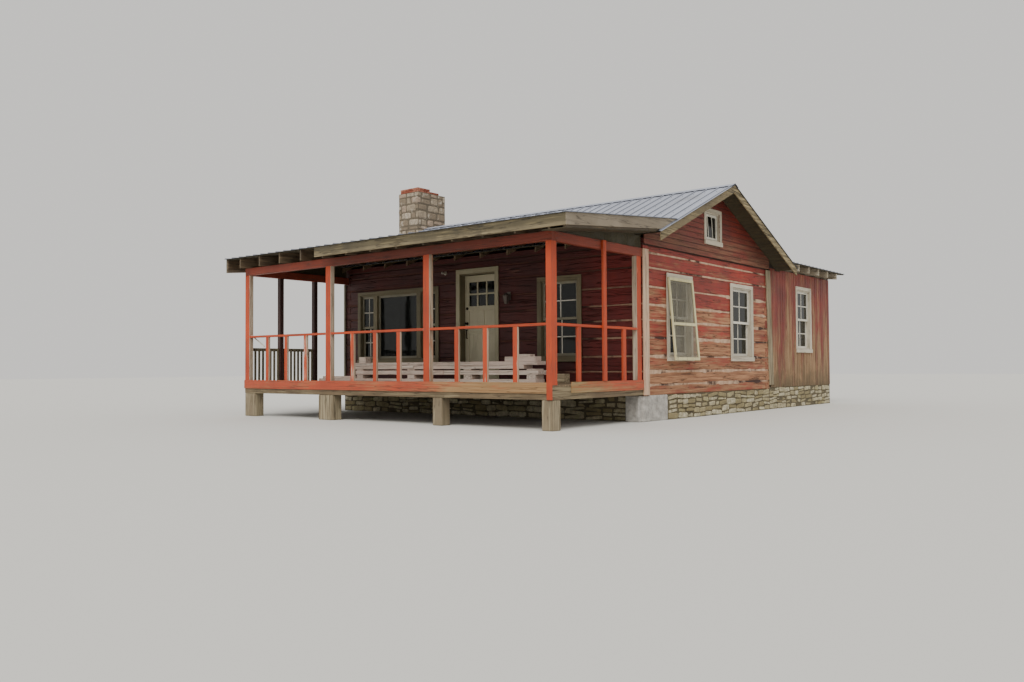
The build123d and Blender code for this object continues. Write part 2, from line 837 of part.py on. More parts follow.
# Rear wing: plank walls, and a shed roof that rises to the left and laps the main roof
wing_wall_start = rear_face + wing_gap
wing_rafter_drop = sheathing + wing_rafter_depth
wing_roof_x1 = right_face + wing_eave
wing_roof_x0 = wing_left - wing_eave
wing_eave_rear = wing_rear + wing_rear_eave
eave_clear = rear_eave_y + metal_drip + roof_to_chimney


def wing_side(x0, hole):
    """A side wall of the wing, stepped under the main roof's eave, with its window."""
    top = wing_roof_height(x0 + wing_wall) - wing_rafter_drop
    with BuildSketch(Plane.YZ.offset(x0)) as outline:
        with BuildLine():
            Polyline((wing_wall_start, wing_base), (wing_rear, wing_base), (wing_rear, top),
                     (eave_clear, top), (eave_clear, roof_height(eave_clear) - boards_under),
                     (wing_wall_start, roof_height(wing_wall_start) - boards_under), close=True)
        make_face()
        panel(hole["start"], hole["end"], hole["bottom"], hole["top"], Mode.SUBTRACT)
    extrude(outline.sketch, amount=wing_wall)


with BuildPart() as wing_walls:
    wing_side(right_face - wing_wall, wing_windows[0])
    wing_side(wing_left, wing_windows[1])
    with BuildSketch(Plane.XZ.offset(-wing_rear)):
        hole = wing_windows[2]
        rear_x0 = wing_left + wing_wall + joint_gap
        rear_x1 = right_face - wing_wall - joint_gap
        with BuildLine():
            Polyline((rear_x0, wing_base), (rear_x1, wing_base),
                     (rear_x1, wing_roof_height(rear_x1) - sheathing),
                     (rear_x0, wing_roof_height(rear_x0) - sheathing), close=True)
        make_face()
        panel(hole["start"], hole["end"], hole["bottom"], hole["top"], Mode.SUBTRACT)
    extrude(amount=wing_wall)
save(wing_walls, "wing_walls")


def wing_layer(lower, upper, y0, y1):
    """A layer of the wing's roof between two places along the wing."""
    with BuildSketch(Plane.XZ.offset(-y1)) as outline:
        with BuildLine():
            Polyline((wing_roof_x0, wing_roof_height(wing_roof_x0) + lower),
                     (wing_roof_x1, wing_roof_height(wing_roof_x1) + lower),
                     (wing_roof_x1, wing_roof_height(wing_roof_x1) + upper),
                     (wing_roof_x0, wing_roof_height(wing_roof_x0) + upper), close=True)
        make_face()
    extrude(outline.sketch, amount=y1 - y0)


with BuildPart() as wing_boards:
    wing_layer(-sheathing, 0, ridge_y, wing_eave_rear)
    cut_by_main_roof(rear_eave_y)

wing_pitch = atan(wing_roof_slope)
with BuildPart() as wing_sheets:
    sheet_x0 = wing_roof_x0 - metal_drip
    section = Plane(origin=(sheet_x0, 0, wing_roof_height(sheet_x0)), x_dir=(0, 1, 0),
                    z_dir=(cos(wing_pitch), 0, -sin(wing_pitch)))
    ribbed_sheet(section, ridge_y, wing_eave_rear + metal_drip,
                 (wing_roof_x1 + metal_drip - sheet_x0) / cos(wing_pitch))
    cut_by_main_roof(rear_eave_y)

with BuildPart() as wing_rafters:
    y = rear_face + first_wing_rafter
    while y < wing_rear - wing_wall - rafter_width:
        wing_layer(-wing_rafter_drop, -sheathing, y, y + rafter_width)
        y = y + wing_rafter_spacing
save(wing_rafters, "wing_rafters")

with BuildPart() as roof_boards:
    add([main_boards.part, porch_boards.part, wing_boards.part])
save(roof_boards, "roof_boards")

with BuildPart() as roof_sheets:
    add([main_sheets.part, porch_sheets.part, wing_sheets.part])
save(roof_sheets, "roof_sheets")

# Windows: each as (axis along its wall, outer face, inward direction, wall thickness, opening)
wall_faces = {
    "front": ("x", front_face, 1, log_thickness),
    "rear": ("x", rear_face, -1, log_thickness),
    "left": ("y", left_face, 1, log_thickness),
    "right": ("y", right_face, -1, log_thickness),
    "wing_right": ("y", right_face, -1, wing_wall),
    "wing_left": ("y", wing_left, 1, wing_wall),
    "wing_rear": ("x", wing_rear, -1, wing_wall),
    "attic": ("y", right_face + gable_proud, -1, gable_thickness),
}
all_windows = [wall_faces[hole["wall"]] + (hole,)
               for hole in windows + wing_windows + [attic_window]]


def wall_block(axis, face, inward, u0, u1, d0, d1, z0, z1):
    """A loose block of a wall: u along the wall, d in from its outer face."""
    low, high = sorted((face + inward * d0, face + inward * d1))
    if axis == "x":
        return timber(u0, u1, low, high, z0, z1, Mode.PRIVATE)
    return timber(low, high, u0, u1, z0, z1, Mode.PRIVATE)


with BuildPart() as side_jambs:
    pieces = []
    for axis, face, inward, depth, hole in all_windows:
        for u0 in (hole["start"], hole["end"] - frame_thickness):
            pieces.append(wall_block(axis, face, inward, u0, u0 + frame_thickness, 0, depth,
                                     hole["bottom"] + frame_thickness,
                                     hole["top"] - frame_thickness))
    centre_light = (picture_window - centre_light_width / 2,
                    picture_window + centre_light_width / 2)
    for u0 in (centre_light[0] - mullion_width, centre_light[1]):
        pieces.append(wall_block("x", front_face, 1, u0, u0 + mullion_width, -casing_thickness,
                                 log_thickness, deck_level + window_foot + frame_thickness,
                                 deck_level + window_head - frame_thickness))
    for x0 in (door_left, door_right - door_jamb):
        pieces.append(timber(x0, x0 + door_jamb, front_face, inside_front, floor_level,
                             door_opening_top, Mode.PRIVATE))
    add(pieces)
save(side_jambs, "side_jambs")

with BuildPart() as heads_and_sills:
    pieces = []
    for axis, face, inward, depth, hole in all_windows:
        for z0 in (hole["bottom"], hole["top"] - frame_thickness):
            pieces.append(wall_block(axis, face, inward, hole["start"], hole["end"], 0, depth,
                                     z0, z0 + frame_thickness))
    pieces.append(timber(door_left + door_jamb, door_right - door_jamb, front_face, inside_front,
                         slab_top + door_gap, door_opening_top, Mode.PRIVATE))
    add(pieces)
save(heads_and_sills, "heads_and_sills")

with BuildPart() as side_casings:
    pieces = []
    for axis, face, inward, depth, hole in all_windows:
        for u0 in (hole["start"] - casing_lap, hole["end"] + casing_lap - casing_width):
            pieces.append(wall_block(axis, face, inward, u0, u0 + casing_width,
                                     -casing_thickness, 0, hole["bottom"], hole["top"]))
    for x0 in (door_left - door_casing_lap, door_right + door_casing_lap - casing_width):
        pieces.append(timber(x0, x0 + casing_width, front_face - casing_thickness, front_face,
                             deck_level, door_opening_top - casing_width, Mode.PRIVATE))
    add(pieces)
save(side_casings, "side_casings")

with BuildPart() as head_casings:
    pieces = []
    for axis, face, inward, depth, hole in all_windows:
        left_edge = hole["start"] - casing_lap
        right_edge = hole["end"] + casing_lap
        pieces.append(wall_block(axis, face, inward, left_edge, right_edge, -casing_thickness, 0,
                                 hole["top"], hole["top"] + casing_lap))
        pieces.append(wall_block(axis, face, inward, left_edge, right_edge, -sill_proud, 0,
                                 hole["bottom"] - sill_height, hole["bottom"]))
    pieces.append(timber(door_left - door_casing_lap, door_right + door_casing_lap,
                         front_face - casing_thickness, front_face,
                         door_opening_top - casing_width, door_opening_top, Mode.PRIVATE))
    add(pieces)
save(head_casings, "head_casings")

# Sashes slide past each other, the upper one outside. The picture window's centre and the attic
# window have one fixed sash.
sashes = []
for axis, face, inward, depth, hole in all_windows:
    bottom = hole["bottom"] + frame_thickness
    top = hole["top"] - frame_thickness
    meeting = (bottom + top) / 2
    ends = [(hole["start"] + frame_thickness, hole["end"] - frame_thickness,
             hole is not attic_window)]
    if hole["wall"] == "front" and hole["start"] < centre_light[0] < hole["end"]:
        ends = [(ends[0][0], centre_light[0] - mullion_width, True),
                (centre_light[0], centre_light[1], False),
                (centre_light[1] + mullion_width, ends[0][1], True)]
    for start, end, slides in ends:
        inner_set = sash_setback + sash_thickness + sash_clearance
        if slides:
            sashes.append((axis, face, inward, start, end, sash_setback,
                           meeting - sash_stile / 2, top))
            sashes.append((axis, face, inward, start, end, inner_set, bottom,
                           meeting + sash_stile / 2))
        else:
            sashes.append((axis, face, inward, start, end, sash_setback, bottom, top))

with BuildPart() as window_sashes:
    rings = []
    panes = []
    for axis, face, inward, start, end, setback, foot, head in sashes:
        rings.append(wall_block(axis, face, inward, start, end, setback,
                                setback + sash_thickness, foot, head))
        panes.append(wall_block(axis, face, inward, start + sash_stile, end - sash_stile, setback,
                                setback + sash_thickness, foot + sash_stile, head - sash_stile))
    add(rings)
    add(panes, mode=Mode.SUBTRACT)
save(window_sashes, "window_sashes")

with BuildPart() as window_glass:
    panes = []
    for axis, face, inward, start, end, setback, foot, head in sashes:
        middle = setback + sash_thickness / 2
        panes.append(wall_block(axis, face, inward, start + sash_stile, end - sash_stile,
                                middle - glass_thickness / 2, middle + glass_thickness / 2,
                                foot + sash_stile, head - sash_stile))
    add(panes)
save(window_glass, "window_glass")

# Storm sash on the right wall's first window, hung from its head and propped out at the foot
storm_plane = Plane(
    origin=(right_face + casing_thickness + joint_gap, window_one - storm_offset,
            deck_level + window_head - storm_drop),
    x_dir=(0, 1, 0), z_dir=(cos(radians(storm_angle)), 0, sin(radians(storm_angle))))
storm_half = storm_width / 2
storm_fields = [(-storm_height + storm_stile, -storm_rail_place - storm_stile / 2),
                (-storm_rail_place + storm_stile / 2, -storm_stile)]
with BuildPart() as storm_sash:
    with BuildSketch(storm_plane):
        panel(-storm_half, storm_half, -storm_height, 0)
        for lower, upper in storm_fields:
            panel(-storm_half + storm_stile, storm_half - storm_stile, lower, upper,
                  Mode.SUBTRACT)
    extrude(amount=storm_thickness)
save(storm_sash, "storm_sash")

with BuildPart() as storm_screen:
    with BuildSketch(storm_plane.offset((storm_thickness - screen_thickness) / 2)):
        for lower, upper in storm_fields:
            panel(-storm_half + storm_stile, storm_half - storm_stile, lower, upper)
    extrude(amount=screen_thickness)
save(storm_screen, "storm_screen")

# Front door: a framed slab set to the room side, with six lights over two pairs of panels
slab_left = door_centre - door_width / 2
slab_right = door_centre + door_width / 2
slab_front = inside_front - door_thickness
light_width = (door_width - 2 * light_stile - 2 * light_bar) / 3
light_places = [
    (slab_left + light_stile + column * (light_width + light_bar),
     slab_foot + light_foot + row * (light_height + light_bar))
    for row in (0, 1) for column in (0, 1, 2)
]
panel_width = (door_width - 3 * light_stile) / 2
with BuildPart() as door_slab:
    timber(slab_left, slab_right, slab_front, inside_front, slab_foot, slab_top)
    cuts = []
    for x0, z0 in light_places:
        cuts.append(timber(x0, x0 + light_width, slab_front, inside_front, z0,
                           z0 + light_height, Mode.PRIVATE))
    for x0 in (slab_left + light_stile, slab_left + 2 * light_stile + panel_width):
        for lower, upper in (lower_panel, upper_panel):
            for y0 in (slab_front, inside_front - panel_depth):
                cuts.append(timber(x0, x0 + panel_width, y0, y0 + panel_depth,
                                   slab_foot + lower, slab_foot + upper, Mode.PRIVATE))
    add(cuts, mode=Mode.SUBTRACT)
save(door_slab, "door_slab")

with BuildPart() as door_glass:
    middle = (slab_front + inside_front) / 2
    for x0, z0 in light_places:
        timber(x0, x0 + light_width, middle - glass_thickness / 2, middle + glass_thickness / 2,
               z0, z0 + light_height)
save(door_glass, "door_glass")

# Butt hinges on the room side: two knuckles and the pin on the jamb, one knuckle on the door
pin_x = slab_right + door_gap / 2
pin_y = inside_front + knuckle_radius + pin_stand_off
jamb_face = door_right - door_jamb
hinge_levels = [slab_foot + hinge_inset, (slab_foot + slab_top) / 2, slab_top - hinge_inset]
knuckle = hinge_height / 3
leaf_start = slab_front + door_gap
with BuildPart() as hinge_jamb_leaves:
    for level in hinge_levels:
        for z in (level - knuckle, level + knuckle):
            with Locations((pin_x, pin_y, z)):
                Cylinder(knuckle_radius, knuckle - knuckle_gap)
            timber(jamb_face - hinge_leaf, jamb_face, inside_front, pin_y,
                   z - knuckle / 2 + knuckle_gap / 2, z + knuckle / 2 - knuckle_gap / 2)
        timber(jamb_face - hinge_leaf, jamb_face, leaf_start, inside_front,
               level - hinge_height / 2, level + hinge_height / 2)
        with Locations((pin_x, pin_y, level)):
            Cylinder(pin_radius, hinge_height)
save(hinge_jamb_leaves, "hinge_jamb_leaves")

with BuildPart() as hinge_door_leaves:
    for level in hinge_levels:
        timber(slab_right, slab_right + hinge_leaf, leaf_start, inside_front,
               level - hinge_height / 2, level + hinge_height / 2)
        timber(slab_right, slab_right + hinge_leaf, inside_front, pin_y,
               level - knuckle / 2 + knuckle_gap, level + knuckle / 2 - knuckle_gap)
        with Locations((pin_x, pin_y, level)):
            Cylinder(knuckle_radius, knuckle - 2 * knuckle_gap)
            Cylinder(pin_radius + running_clearance, knuckle, mode=Mode.SUBTRACT)
save(hinge_door_leaves, "hinge_door_leaves")

# Knob, deadbolt and a long pull handle at the door's left edge
knob_x = slab_left + knob_inset
knob_level = slab_foot + knob_height
bolt_level = knob_level + bolt_above_knob
handle_top = knob_level - handle_below_knob
rose_radius = 28
rose_thickness = 6
knob_radius = 25
knob_reach = 62
shank_radius = 11
handle_thickness = 14
handle_reach = 42
with BuildPart() as door_hardware:
    out = Plane((knob_x, slab_front, knob_level), x_dir=(1, 0, 0), z_dir=(0, -1, 0))
    with Locations(out):
        Cylinder(rose_radius, rose_thickness, align=(Align.CENTER, Align.CENTER, Align.MIN))
        Cylinder(shank_radius, knob_reach, align=(Align.CENTER, Align.CENTER, Align.MIN))
    with Locations(out.offset(knob_reach - knob_radius)):
        Cone(shank_radius, knob_radius, knob_radius / 2,
             align=(Align.CENTER, Align.CENTER, Align.MIN))
    with Locations(out.offset(knob_reach - knob_radius / 2)):
        Cone(knob_radius, shank_radius, knob_radius / 2,
             align=(Align.CENTER, Align.CENTER, Align.MIN))
    with Locations(Plane((knob_x, slab_front, bolt_level), x_dir=(1, 0, 0), z_dir=(0, -1, 0))):
        Cylinder(rose_radius, 2 * rose_thickness, align=(Align.CENTER, Align.CENTER, Align.MIN))
    timber(knob_x - handle_thickness / 2, knob_x + handle_thickness / 2,
           slab_front - handle_reach, slab_front - handle_reach + handle_thickness,
           handle_top - handle_length, handle_top)
    for z0 in (handle_top - handle_length, handle_top - handle_thickness):
        timber(knob_x - handle_thickness / 2, knob_x + handle_thickness / 2,
               slab_front - handle_reach + handle_thickness, slab_front,
               z0, z0 + handle_thickness)
save(door_hardware, "door_hardware")

# Wall lantern to the right of the door: a back plate, an arm and a tapered body under a hood
lantern_x = right_face - lantern_place
lantern_z = deck_level + lantern_height
body_taper = 20
plate_thickness = 10
hood_height = lantern_width / 2
hood_width = lantern_width + 24
hood_taper = 42
lantern_stand_off = 45
lantern_y = front_face - lantern_stand_off - lantern_width / 2
with BuildPart() as porch_lantern:
    timber(lantern_x - lantern_width / 2, lantern_x + lantern_width / 2,
           front_face - plate_thickness, front_face, lantern_z - lantern_body_height / 2,
           lantern_z + lantern_body_height / 2)
    timber(lantern_x - plate_thickness, lantern_x + plate_thickness, lantern_y,
           front_face - plate_thickness, lantern_z, lantern_z + plate_thickness)
    with Locations((lantern_x, lantern_y, lantern_z - lantern_body_height / 2)):
        Wedge(lantern_width, lantern_body_height, lantern_width, body_taper, body_taper,
              lantern_width - body_taper, lantern_width - body_taper, rotation=(-90, 0, 0))
    with Locations((lantern_x, lantern_y, lantern_z + hood_height / 2)):
        Wedge(hood_width, hood_height, hood_width, hood_taper, hood_taper,
              hood_width - hood_taper, hood_width - hood_taper, rotation=(90, 0, 0))
save(porch_lantern, "porch_lantern")

# Loose boards on the right wall: one over the front corner, one leaning over the wing's joint
with BuildPart() as corner_board:
    timber(right_face, right_face + casing_thickness, front_face - corner_board_lap,
           front_face - corner_board_lap + corner_board_width, rim_foot, beam_top)
    with BuildSketch(Plane.YZ.offset(right_face)):
        with BuildLine():
            foot_y = rear_face + leaning_board_place
            foot_z = deck_level - leaning_board_foot
            head_y = foot_y - leaning_board_lean
            head_z = foot_z + leaning_board_height
            Polyline((foot_y - leaning_board_width / 2, foot_z),
                     (foot_y + leaning_board_width / 2, foot_z),
                     (head_y + leaning_board_width / 2, head_z),
                     (head_y - leaning_board_width / 2, head_z), close=True)
        make_face()
    extrude(amount=casing_thickness)
save(corner_board, "corner_board")

# Long low bench of stacked timbers on the porch, with blocks between them
bench_right = right_face - bench_from_right
bench_left = bench_right - bench_length
bench_rear = front_face - bench_from_wall + bench_width / 2
block_step = (bench_length - bench_block_width) / (bench_blocks - 1)
with BuildPart() as porch_bench:
    for lower, upper in bench_layers:
        timber(bench_left, bench_right, bench_rear - bench_width, bench_rear,
               deck_level + lower, deck_level + upper)
    for (foot, lower), (upper, head) in zip(bench_layers, bench_layers[1:]):
        for index in range(bench_blocks):
            x0 = bench_left + index * block_step
            timber(x0, x0 + bench_block_width, bench_rear - bench_width, bench_rear,
                   deck_level + lower, deck_level + upper)
save(porch_bench, "porch_bench")
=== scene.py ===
import bpy
import bmesh
import math
import random
from mathutils import Matrix, Vector, noise
from mathutils.bvhtree import BVHTree


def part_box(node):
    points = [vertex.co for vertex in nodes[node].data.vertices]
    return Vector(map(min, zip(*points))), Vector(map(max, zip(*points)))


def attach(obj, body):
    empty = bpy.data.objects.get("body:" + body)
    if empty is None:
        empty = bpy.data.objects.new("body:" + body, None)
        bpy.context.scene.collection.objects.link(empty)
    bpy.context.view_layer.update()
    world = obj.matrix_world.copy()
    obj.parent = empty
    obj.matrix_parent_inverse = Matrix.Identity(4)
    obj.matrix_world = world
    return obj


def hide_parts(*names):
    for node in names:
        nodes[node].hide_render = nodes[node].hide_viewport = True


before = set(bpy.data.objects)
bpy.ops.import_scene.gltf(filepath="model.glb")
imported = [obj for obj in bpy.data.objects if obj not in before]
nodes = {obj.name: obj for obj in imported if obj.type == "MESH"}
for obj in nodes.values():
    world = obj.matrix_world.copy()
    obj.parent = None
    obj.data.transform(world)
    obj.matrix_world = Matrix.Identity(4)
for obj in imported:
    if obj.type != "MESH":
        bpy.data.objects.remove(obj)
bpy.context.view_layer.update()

# Camera: a long way off the front right corner, at about the height of the porch floor, level and
# turned to the left, as the photograph was taken.
right_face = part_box("right_wall_logs")[1].x
left_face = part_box("left_wall_logs")[0].x
front_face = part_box("front_wall_logs")[0].y
rear_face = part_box("rear_wall_logs")[1].y
deck_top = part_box("porch_deck")[1].z
heading = math.radians(38.76)
climb = math.radians(1.704)
lean = math.radians(-0.322)
view_from = Vector((right_face + 7.307, front_face - 12.539, deck_top + 0.261))
ahead = Vector((-math.sin(heading) * math.cos(climb), math.cos(heading) * math.cos(climb),
                math.sin(climb)))
level = Vector((math.cos(heading), math.sin(heading), 0))
upright = level.cross(ahead)
across = level * math.cos(lean) + upright * math.sin(lean)
turned = Matrix((across, across.cross(ahead), -ahead)).transposed().to_4x4()
bpy.ops.object.camera_add()
camera = bpy.context.object
camera.matrix_world = Matrix.Translation(view_from) @ turned
camera.data.lens = 30.83
camera.data.sensor_width = 36
camera.data.clip_end = 500
bpy.context.scene.camera = camera

# Floor: a plain pale sheet under the whole building and far behind it, which isn't part of it.
bpy.ops.mesh.primitive_plane_add(size=160, location=(0, 0, 0))
floor = bpy.context.object
floor.name = "studio_floor"
pale = bpy.data.materials.new("studio_floor")
pale.use_nodes = True
pale.node_tree.nodes["Principled BSDF"].inputs["Base Color"].default_value = (0.66, 0.66, 0.64, 1)
pale.node_tree.nodes["Principled BSDF"].inputs["Roughness"].default_value = 0.9
floor.data.materials.append(pale)

# Studio light: an even pale sky, with one very large soft lamp high in front and to the right.
sky = bpy.data.worlds.new("studio_sky")
bpy.context.scene.world = sky
sky.use_nodes = True
sky.node_tree.nodes["Background"].inputs["Color"].default_value = (1.0, 0.98, 0.94, 1)
sky.node_tree.nodes["Background"].inputs["Strength"].default_value = 0.86
bpy.ops.object.light_add(type="SUN", rotation=(math.radians(42), 0, math.radians(28)))
sun = bpy.context.object
sun.data.energy = 2.3
sun.data.angle = math.radians(35)
sun.data.color = (1.0, 0.96, 0.88)


# Porch timbers: sawn posts, beams, rails and kick boards of softwood under orange-red paint,
# which has worn off the arrises and off the posts' right sides. They are nailed together.
def in_hand(piece):
    """Leaves one piece alone selected and active."""
    bpy.ops.object.select_all(action="DESELECT")
    piece.select_set(True)
    bpy.context.view_layer.objects.active = piece


def opened(piece):
    """Opens a piece for edits, with all of it picked."""
    in_hand(piece)
    bpy.ops.object.mode_set(mode="EDIT")
    bpy.ops.mesh.select_all(action="SELECT")


def closed():
    """Ends the edits of the open piece."""
    bpy.ops.object.mode_set(mode="OBJECT")


def paint(red, green, blue):
    """A colour as seen, in the shader's linear values."""
    return tuple((c / 255 / 12.92) if c < 11 else ((c / 255 + 0.055) / 1.055) ** 2.4
                 for c in (red, green, blue)) + (1,)


def feed(node, **sockets):
    """Gives a node's sockets, each by its number or its name, a value or another socket."""
    for name, value in sockets.items():
        key = name.replace("_", " ")
        socket = node.inputs[int(key[1:])] if key[1:].isdigit() else node.inputs[key]
        if isinstance(value, bpy.types.NodeSocket):
            node.id_data.links.new(value, socket)
        else:
            socket.default_value = value


def add_node(tree, kind, settings=(), **sockets):
    """One shader node, with its settings and its sockets fed."""
    node = tree.nodes.new("ShaderNode" + kind)
    for name, value in dict(settings).items():
        setattr(node, name, value)
    feed(node, **sockets)
    return node


def tree_of(*values):
    """The shader tree that a value among these comes from."""
    return next(v.id_data for v in values if isinstance(v, bpy.types.NodeSocket))


def maths(operation, first, second=0.5):
    """What an operation makes of two values."""
    return add_node(tree_of(first, second), "Math", {"operation": operation}, n0=first,
                    n1=second).outputs[0]


def times(first, second):
    """A product of two values."""
    return maths("MULTIPLY", first, second)


def stretched(place, scale):
    """A place with each of its parts scaled."""
    return add_node(place.id_data, "VectorMath", {"operation": "MULTIPLY"}, n0=place,
                    n1=scale).outputs[0]


def part_of(place, axis):
    """How far a place lies along an axis."""
    return add_node(place.id_data, "SeparateXYZ", Vector=place).outputs[axis]


def blend(share, first, second, kind="MIX"):
    """Two colours blended by a share."""
    return add_node(tree_of(share, first, second), "Mix", {"data_type": "RGBA", "blend_type": kind},
                    n0=share, n6=first, n7=second).outputs[2]


def spread(value, low, high, to_low=0.0, to_high=1.0):
    """A value stretched from one range to another and held inside it."""
    return add_node(value.id_data, "MapRange", {"clamp": True}, n0=value, n1=low, n2=high, n3=to_low,
                    n4=to_high).outputs[0]


def noise_at(place, scale, detail=4.0, rough=0.6):
    """Cloudy noise at a place."""
    return add_node(place.id_data, "TexNoise", {"noise_dimensions": "3D"}, Vector=place, Scale=scale,
                    Detail=detail, Roughness=rough).outputs["Fac"]


def bumps(height, strength, distance):
    """The surface's direction once a height has roughened it."""
    return add_node(height.id_data, "Bump", Strength=strength, Distance=distance,
                    Height=height).outputs[0]


def new_group(name, inputs, outputs):
    """An empty shader group with named inputs and outputs."""
    tree = bpy.data.node_groups.new(name, "ShaderNodeTree")
    for label, kind in inputs:
        tree.interface.new_socket(label, in_out="INPUT", socket_type="NodeSocket" + kind)
    for label in outputs:
        tree.interface.new_socket(label, in_out="OUTPUT", socket_type="NodeSocketFloat")
    return tree, tree.nodes.new("NodeGroupInput").outputs, tree.nodes.new("NodeGroupOutput")


# Fibre: long streaks and thin drying cracks that follow each timber's own grain.
fibre_group, given, result = new_group(
    "timber_fibre", [("Grain", "Vector"), ("Fineness", "Float")], ["Fibre", "Cracks", "Height"])
across_grain = add_node(fibre_group, "CombineXYZ", X=1.3, Y=given["Fineness"], Z=given["Fineness"])
along = stretched(given["Grain"], across_grain.outputs[0])
streaks = noise_at(along, 1.0, 6.0, 0.65)
split = maths("ABSOLUTE", maths("SUBTRACT", noise_at(stretched(along, (0.45, 0.5, 0.5)), 1.0, 3.0,
                                                     0.5), 0.5))
cracks = spread(split, 0.0, 0.014, 1.0, 0.0)
feed(result, Fibre=streaks, Cracks=cracks, Height=maths("SUBTRACT", streaks, cracks))

# Wear: where paint has flaked or washed off, in patches drawn out along the grain.
wear_group, given, result = new_group(
    "worn_paint", [("Grain", "Vector"), ("Fibre", "Float"), ("Bare", "Float"), ("Scale", "Float"),
                   ("Thinned", "Float")], ["Mask"])
patches = noise_at(stretched(given["Grain"], (0.5, 1.6, 1.6)), given["Scale"], 7.0, 0.68)
flakes = maths("ADD", patches, times(given["Fibre"], 0.55))
edge = maths("SUBTRACT", 1.13, times(given["Bare"], 0.72))
feed(result, Mask=spread(maths("SUBTRACT", flakes, edge), times(given["Thinned"], -1.0),
                         times(given["Thinned"], 1.6)))

# Damp: mould and splashed dirt that climb from the ground, uneven along the foot.
damp_group, given, result = new_group(
    "rising_damp", [("Place", "Vector"), ("Reach", "Float")], ["Mask"])
climbing = times(given["Reach"], times(noise_at(given["Place"], 3.1, 6.0), 1.6))
height = part_of(given["Place"], "Z")
feed(result, Mask=spread(maths("DIVIDE", height, climbing), 0.4, 1.0, 1.0, 0.0))


def new_material(name):
    """A new material, its shader, and the place on the piece itself."""
    material = bpy.data.materials.new(name)
    material.use_nodes = True
    return (material, material.node_tree.nodes["Principled BSDF"],
            add_node(material.node_tree, "TexCoord").outputs["Object"])


def mesh_value(material, name):
    """A node that reads a value which each point of a mesh carries."""
    return add_node(material.node_tree, "Attribute", {"attribute_name": name})


def dimmed(colour, share):
    """A colour with only a share of its light."""
    return tuple(share * c for c in colour[:3]) + (1,)


def timber_finish(name, coats, woods, bare, fineness=38.0, relief=0.004, wear_scale=2.2,
                  fade=None, damp=0.0, along=None, thinned=0.04, cracked=0.75):
    """Wood under worn paint: two tones of paint, two of bare wood, and the share that is bare.
    A fade gives two places on an axis and what each adds to the bare share."""
    material, shader, place = new_material(name)
    tree = material.node_tree
    coats = [paint(*tone) for tone in coats]
    woods = [paint(*tone) for tone in woods]
    if along:
        upright_grain = (0, math.pi / 2, 0)
        turn = upright_grain if along == "Z" else (0, 0, 0)
        grain = add_node(tree, "Mapping", n0=place, n2=turn).outputs[0]
        tone = noise_at(place, 0.7, 2.0)
    else:
        grain = mesh_value(material, "grain").outputs["Vector"]
        tone = mesh_value(material, "tone").outputs["Fac"]
    fibre = add_node(tree, "Group", {"node_tree": fibre_group}, Grain=grain,
                     Fineness=fineness).outputs
    share = maths("ADD", bare, times(maths("SUBTRACT", tone, 0.5), 0.35))
    if fade:
        share = maths("ADD", share, spread(part_of(place, fade[0]), *fade[1:]))
    mask = add_node(tree, "Group", {"node_tree": wear_group}, Grain=grain, Fibre=fibre["Fibre"],
                    Bare=share, Scale=wear_scale, Thinned=thinned).outputs["Mask"]
    coat = blend(spread(noise_at(place, 1.4, 5.0), 0.35, 0.65), *coats)
    wood = blend(spread(fibre["Fibre"], 0.35, 0.65), *woods)
    light = spread(tone, 0.0, 1.0, 0.86, 1.1)
    shade = add_node(tree, "CombineColor", n0=light, n1=light, n2=light).outputs[0]
    colour = blend(1.0, blend(mask, coat, wood), shade, "MULTIPLY")
    colour = blend(times(fibre["Cracks"], cracked), colour, dimmed(woods[0], 0.25))
    if damp:
        wet = add_node(tree, "Group", {"node_tree": damp_group}, Place=place,
                       Reach=damp).outputs["Mask"]
        colour = blend(times(wet, 0.7), colour, paint(74, 68, 48))
    lift = maths("SUBTRACT", fibre["Height"], times(mask, 0.3))
    feed(shader, Base_Color=colour, Roughness=spread(mask, 0.0, 1.0, 0.6, 0.88),
         Normal=bumps(lift, 0.85, relief))
    return material


def colour_along(material, axis):
    """A finish's shader, the colour that it has so far, and the place along an axis."""
    shader = material.node_tree.nodes["Principled BSDF"]
    place = add_node(material.node_tree, "TexCoord").outputs["Object"]
    return shader, shader.inputs["Base Color"].links[0].from_socket, part_of(place, axis)


def tint_along(material, axis, low, high, first, last):
    """Tints a finish from one tone to another between two places on an axis."""
    shader, before, at = colour_along(material, axis)
    tint = blend(spread(at, low, high), first, last)
    feed(shader, Base_Color=blend(1.0, before, tint, "MULTIPLY"))


def loose_parts(mesh):
    """The points of each separate timber in a mesh."""
    owner = list(range(len(mesh.vertices)))

    def first(point):
        while owner[point] != point:
            owner[point] = owner[owner[point]]
            point = owner[point]
        return point

    for line in mesh.edges:
        owner[first(line.vertices[0])] = first(line.vertices[1])
    parts = {}
    for point in range(len(owner)):
        parts.setdefault(first(point), []).append(point)
    return list(parts.values())


def span_of(mesh, points):
    """Lowest and highest corners of some points of a mesh."""
    places = [mesh.vertices[point].co for point in points]
    return (Vector([min(p[k] for p in places) for k in range(3)]),
            Vector([max(p[k] for p in places) for k in range(3)]))


def lay_grain(piece, seed):
    """Runs the grain along each timber's longest side, and gives each timber a tone of its own."""
    draw = random.Random(seed)
    mesh = piece.data
    mesh.attributes.new("grain", "FLOAT_VECTOR", "POINT")
    mesh.attributes.new("tone", "FLOAT", "POINT")
    grain = mesh.attributes["grain"]
    tone = mesh.attributes["tone"]
    for points in loose_parts(mesh):
        low, high = span_of(mesh, points)
        order = sorted(range(3), key=lambda k: low[k] - high[k])
        shift = [draw.uniform(0, 40) for _ in range(3)]
        shade = draw.random()
        for point in points:
            at = mesh.vertices[point].co
            grain.data[point].vector = [at[k] + s for k, s in zip(order, shift)]
            tone.data[point].value = shade


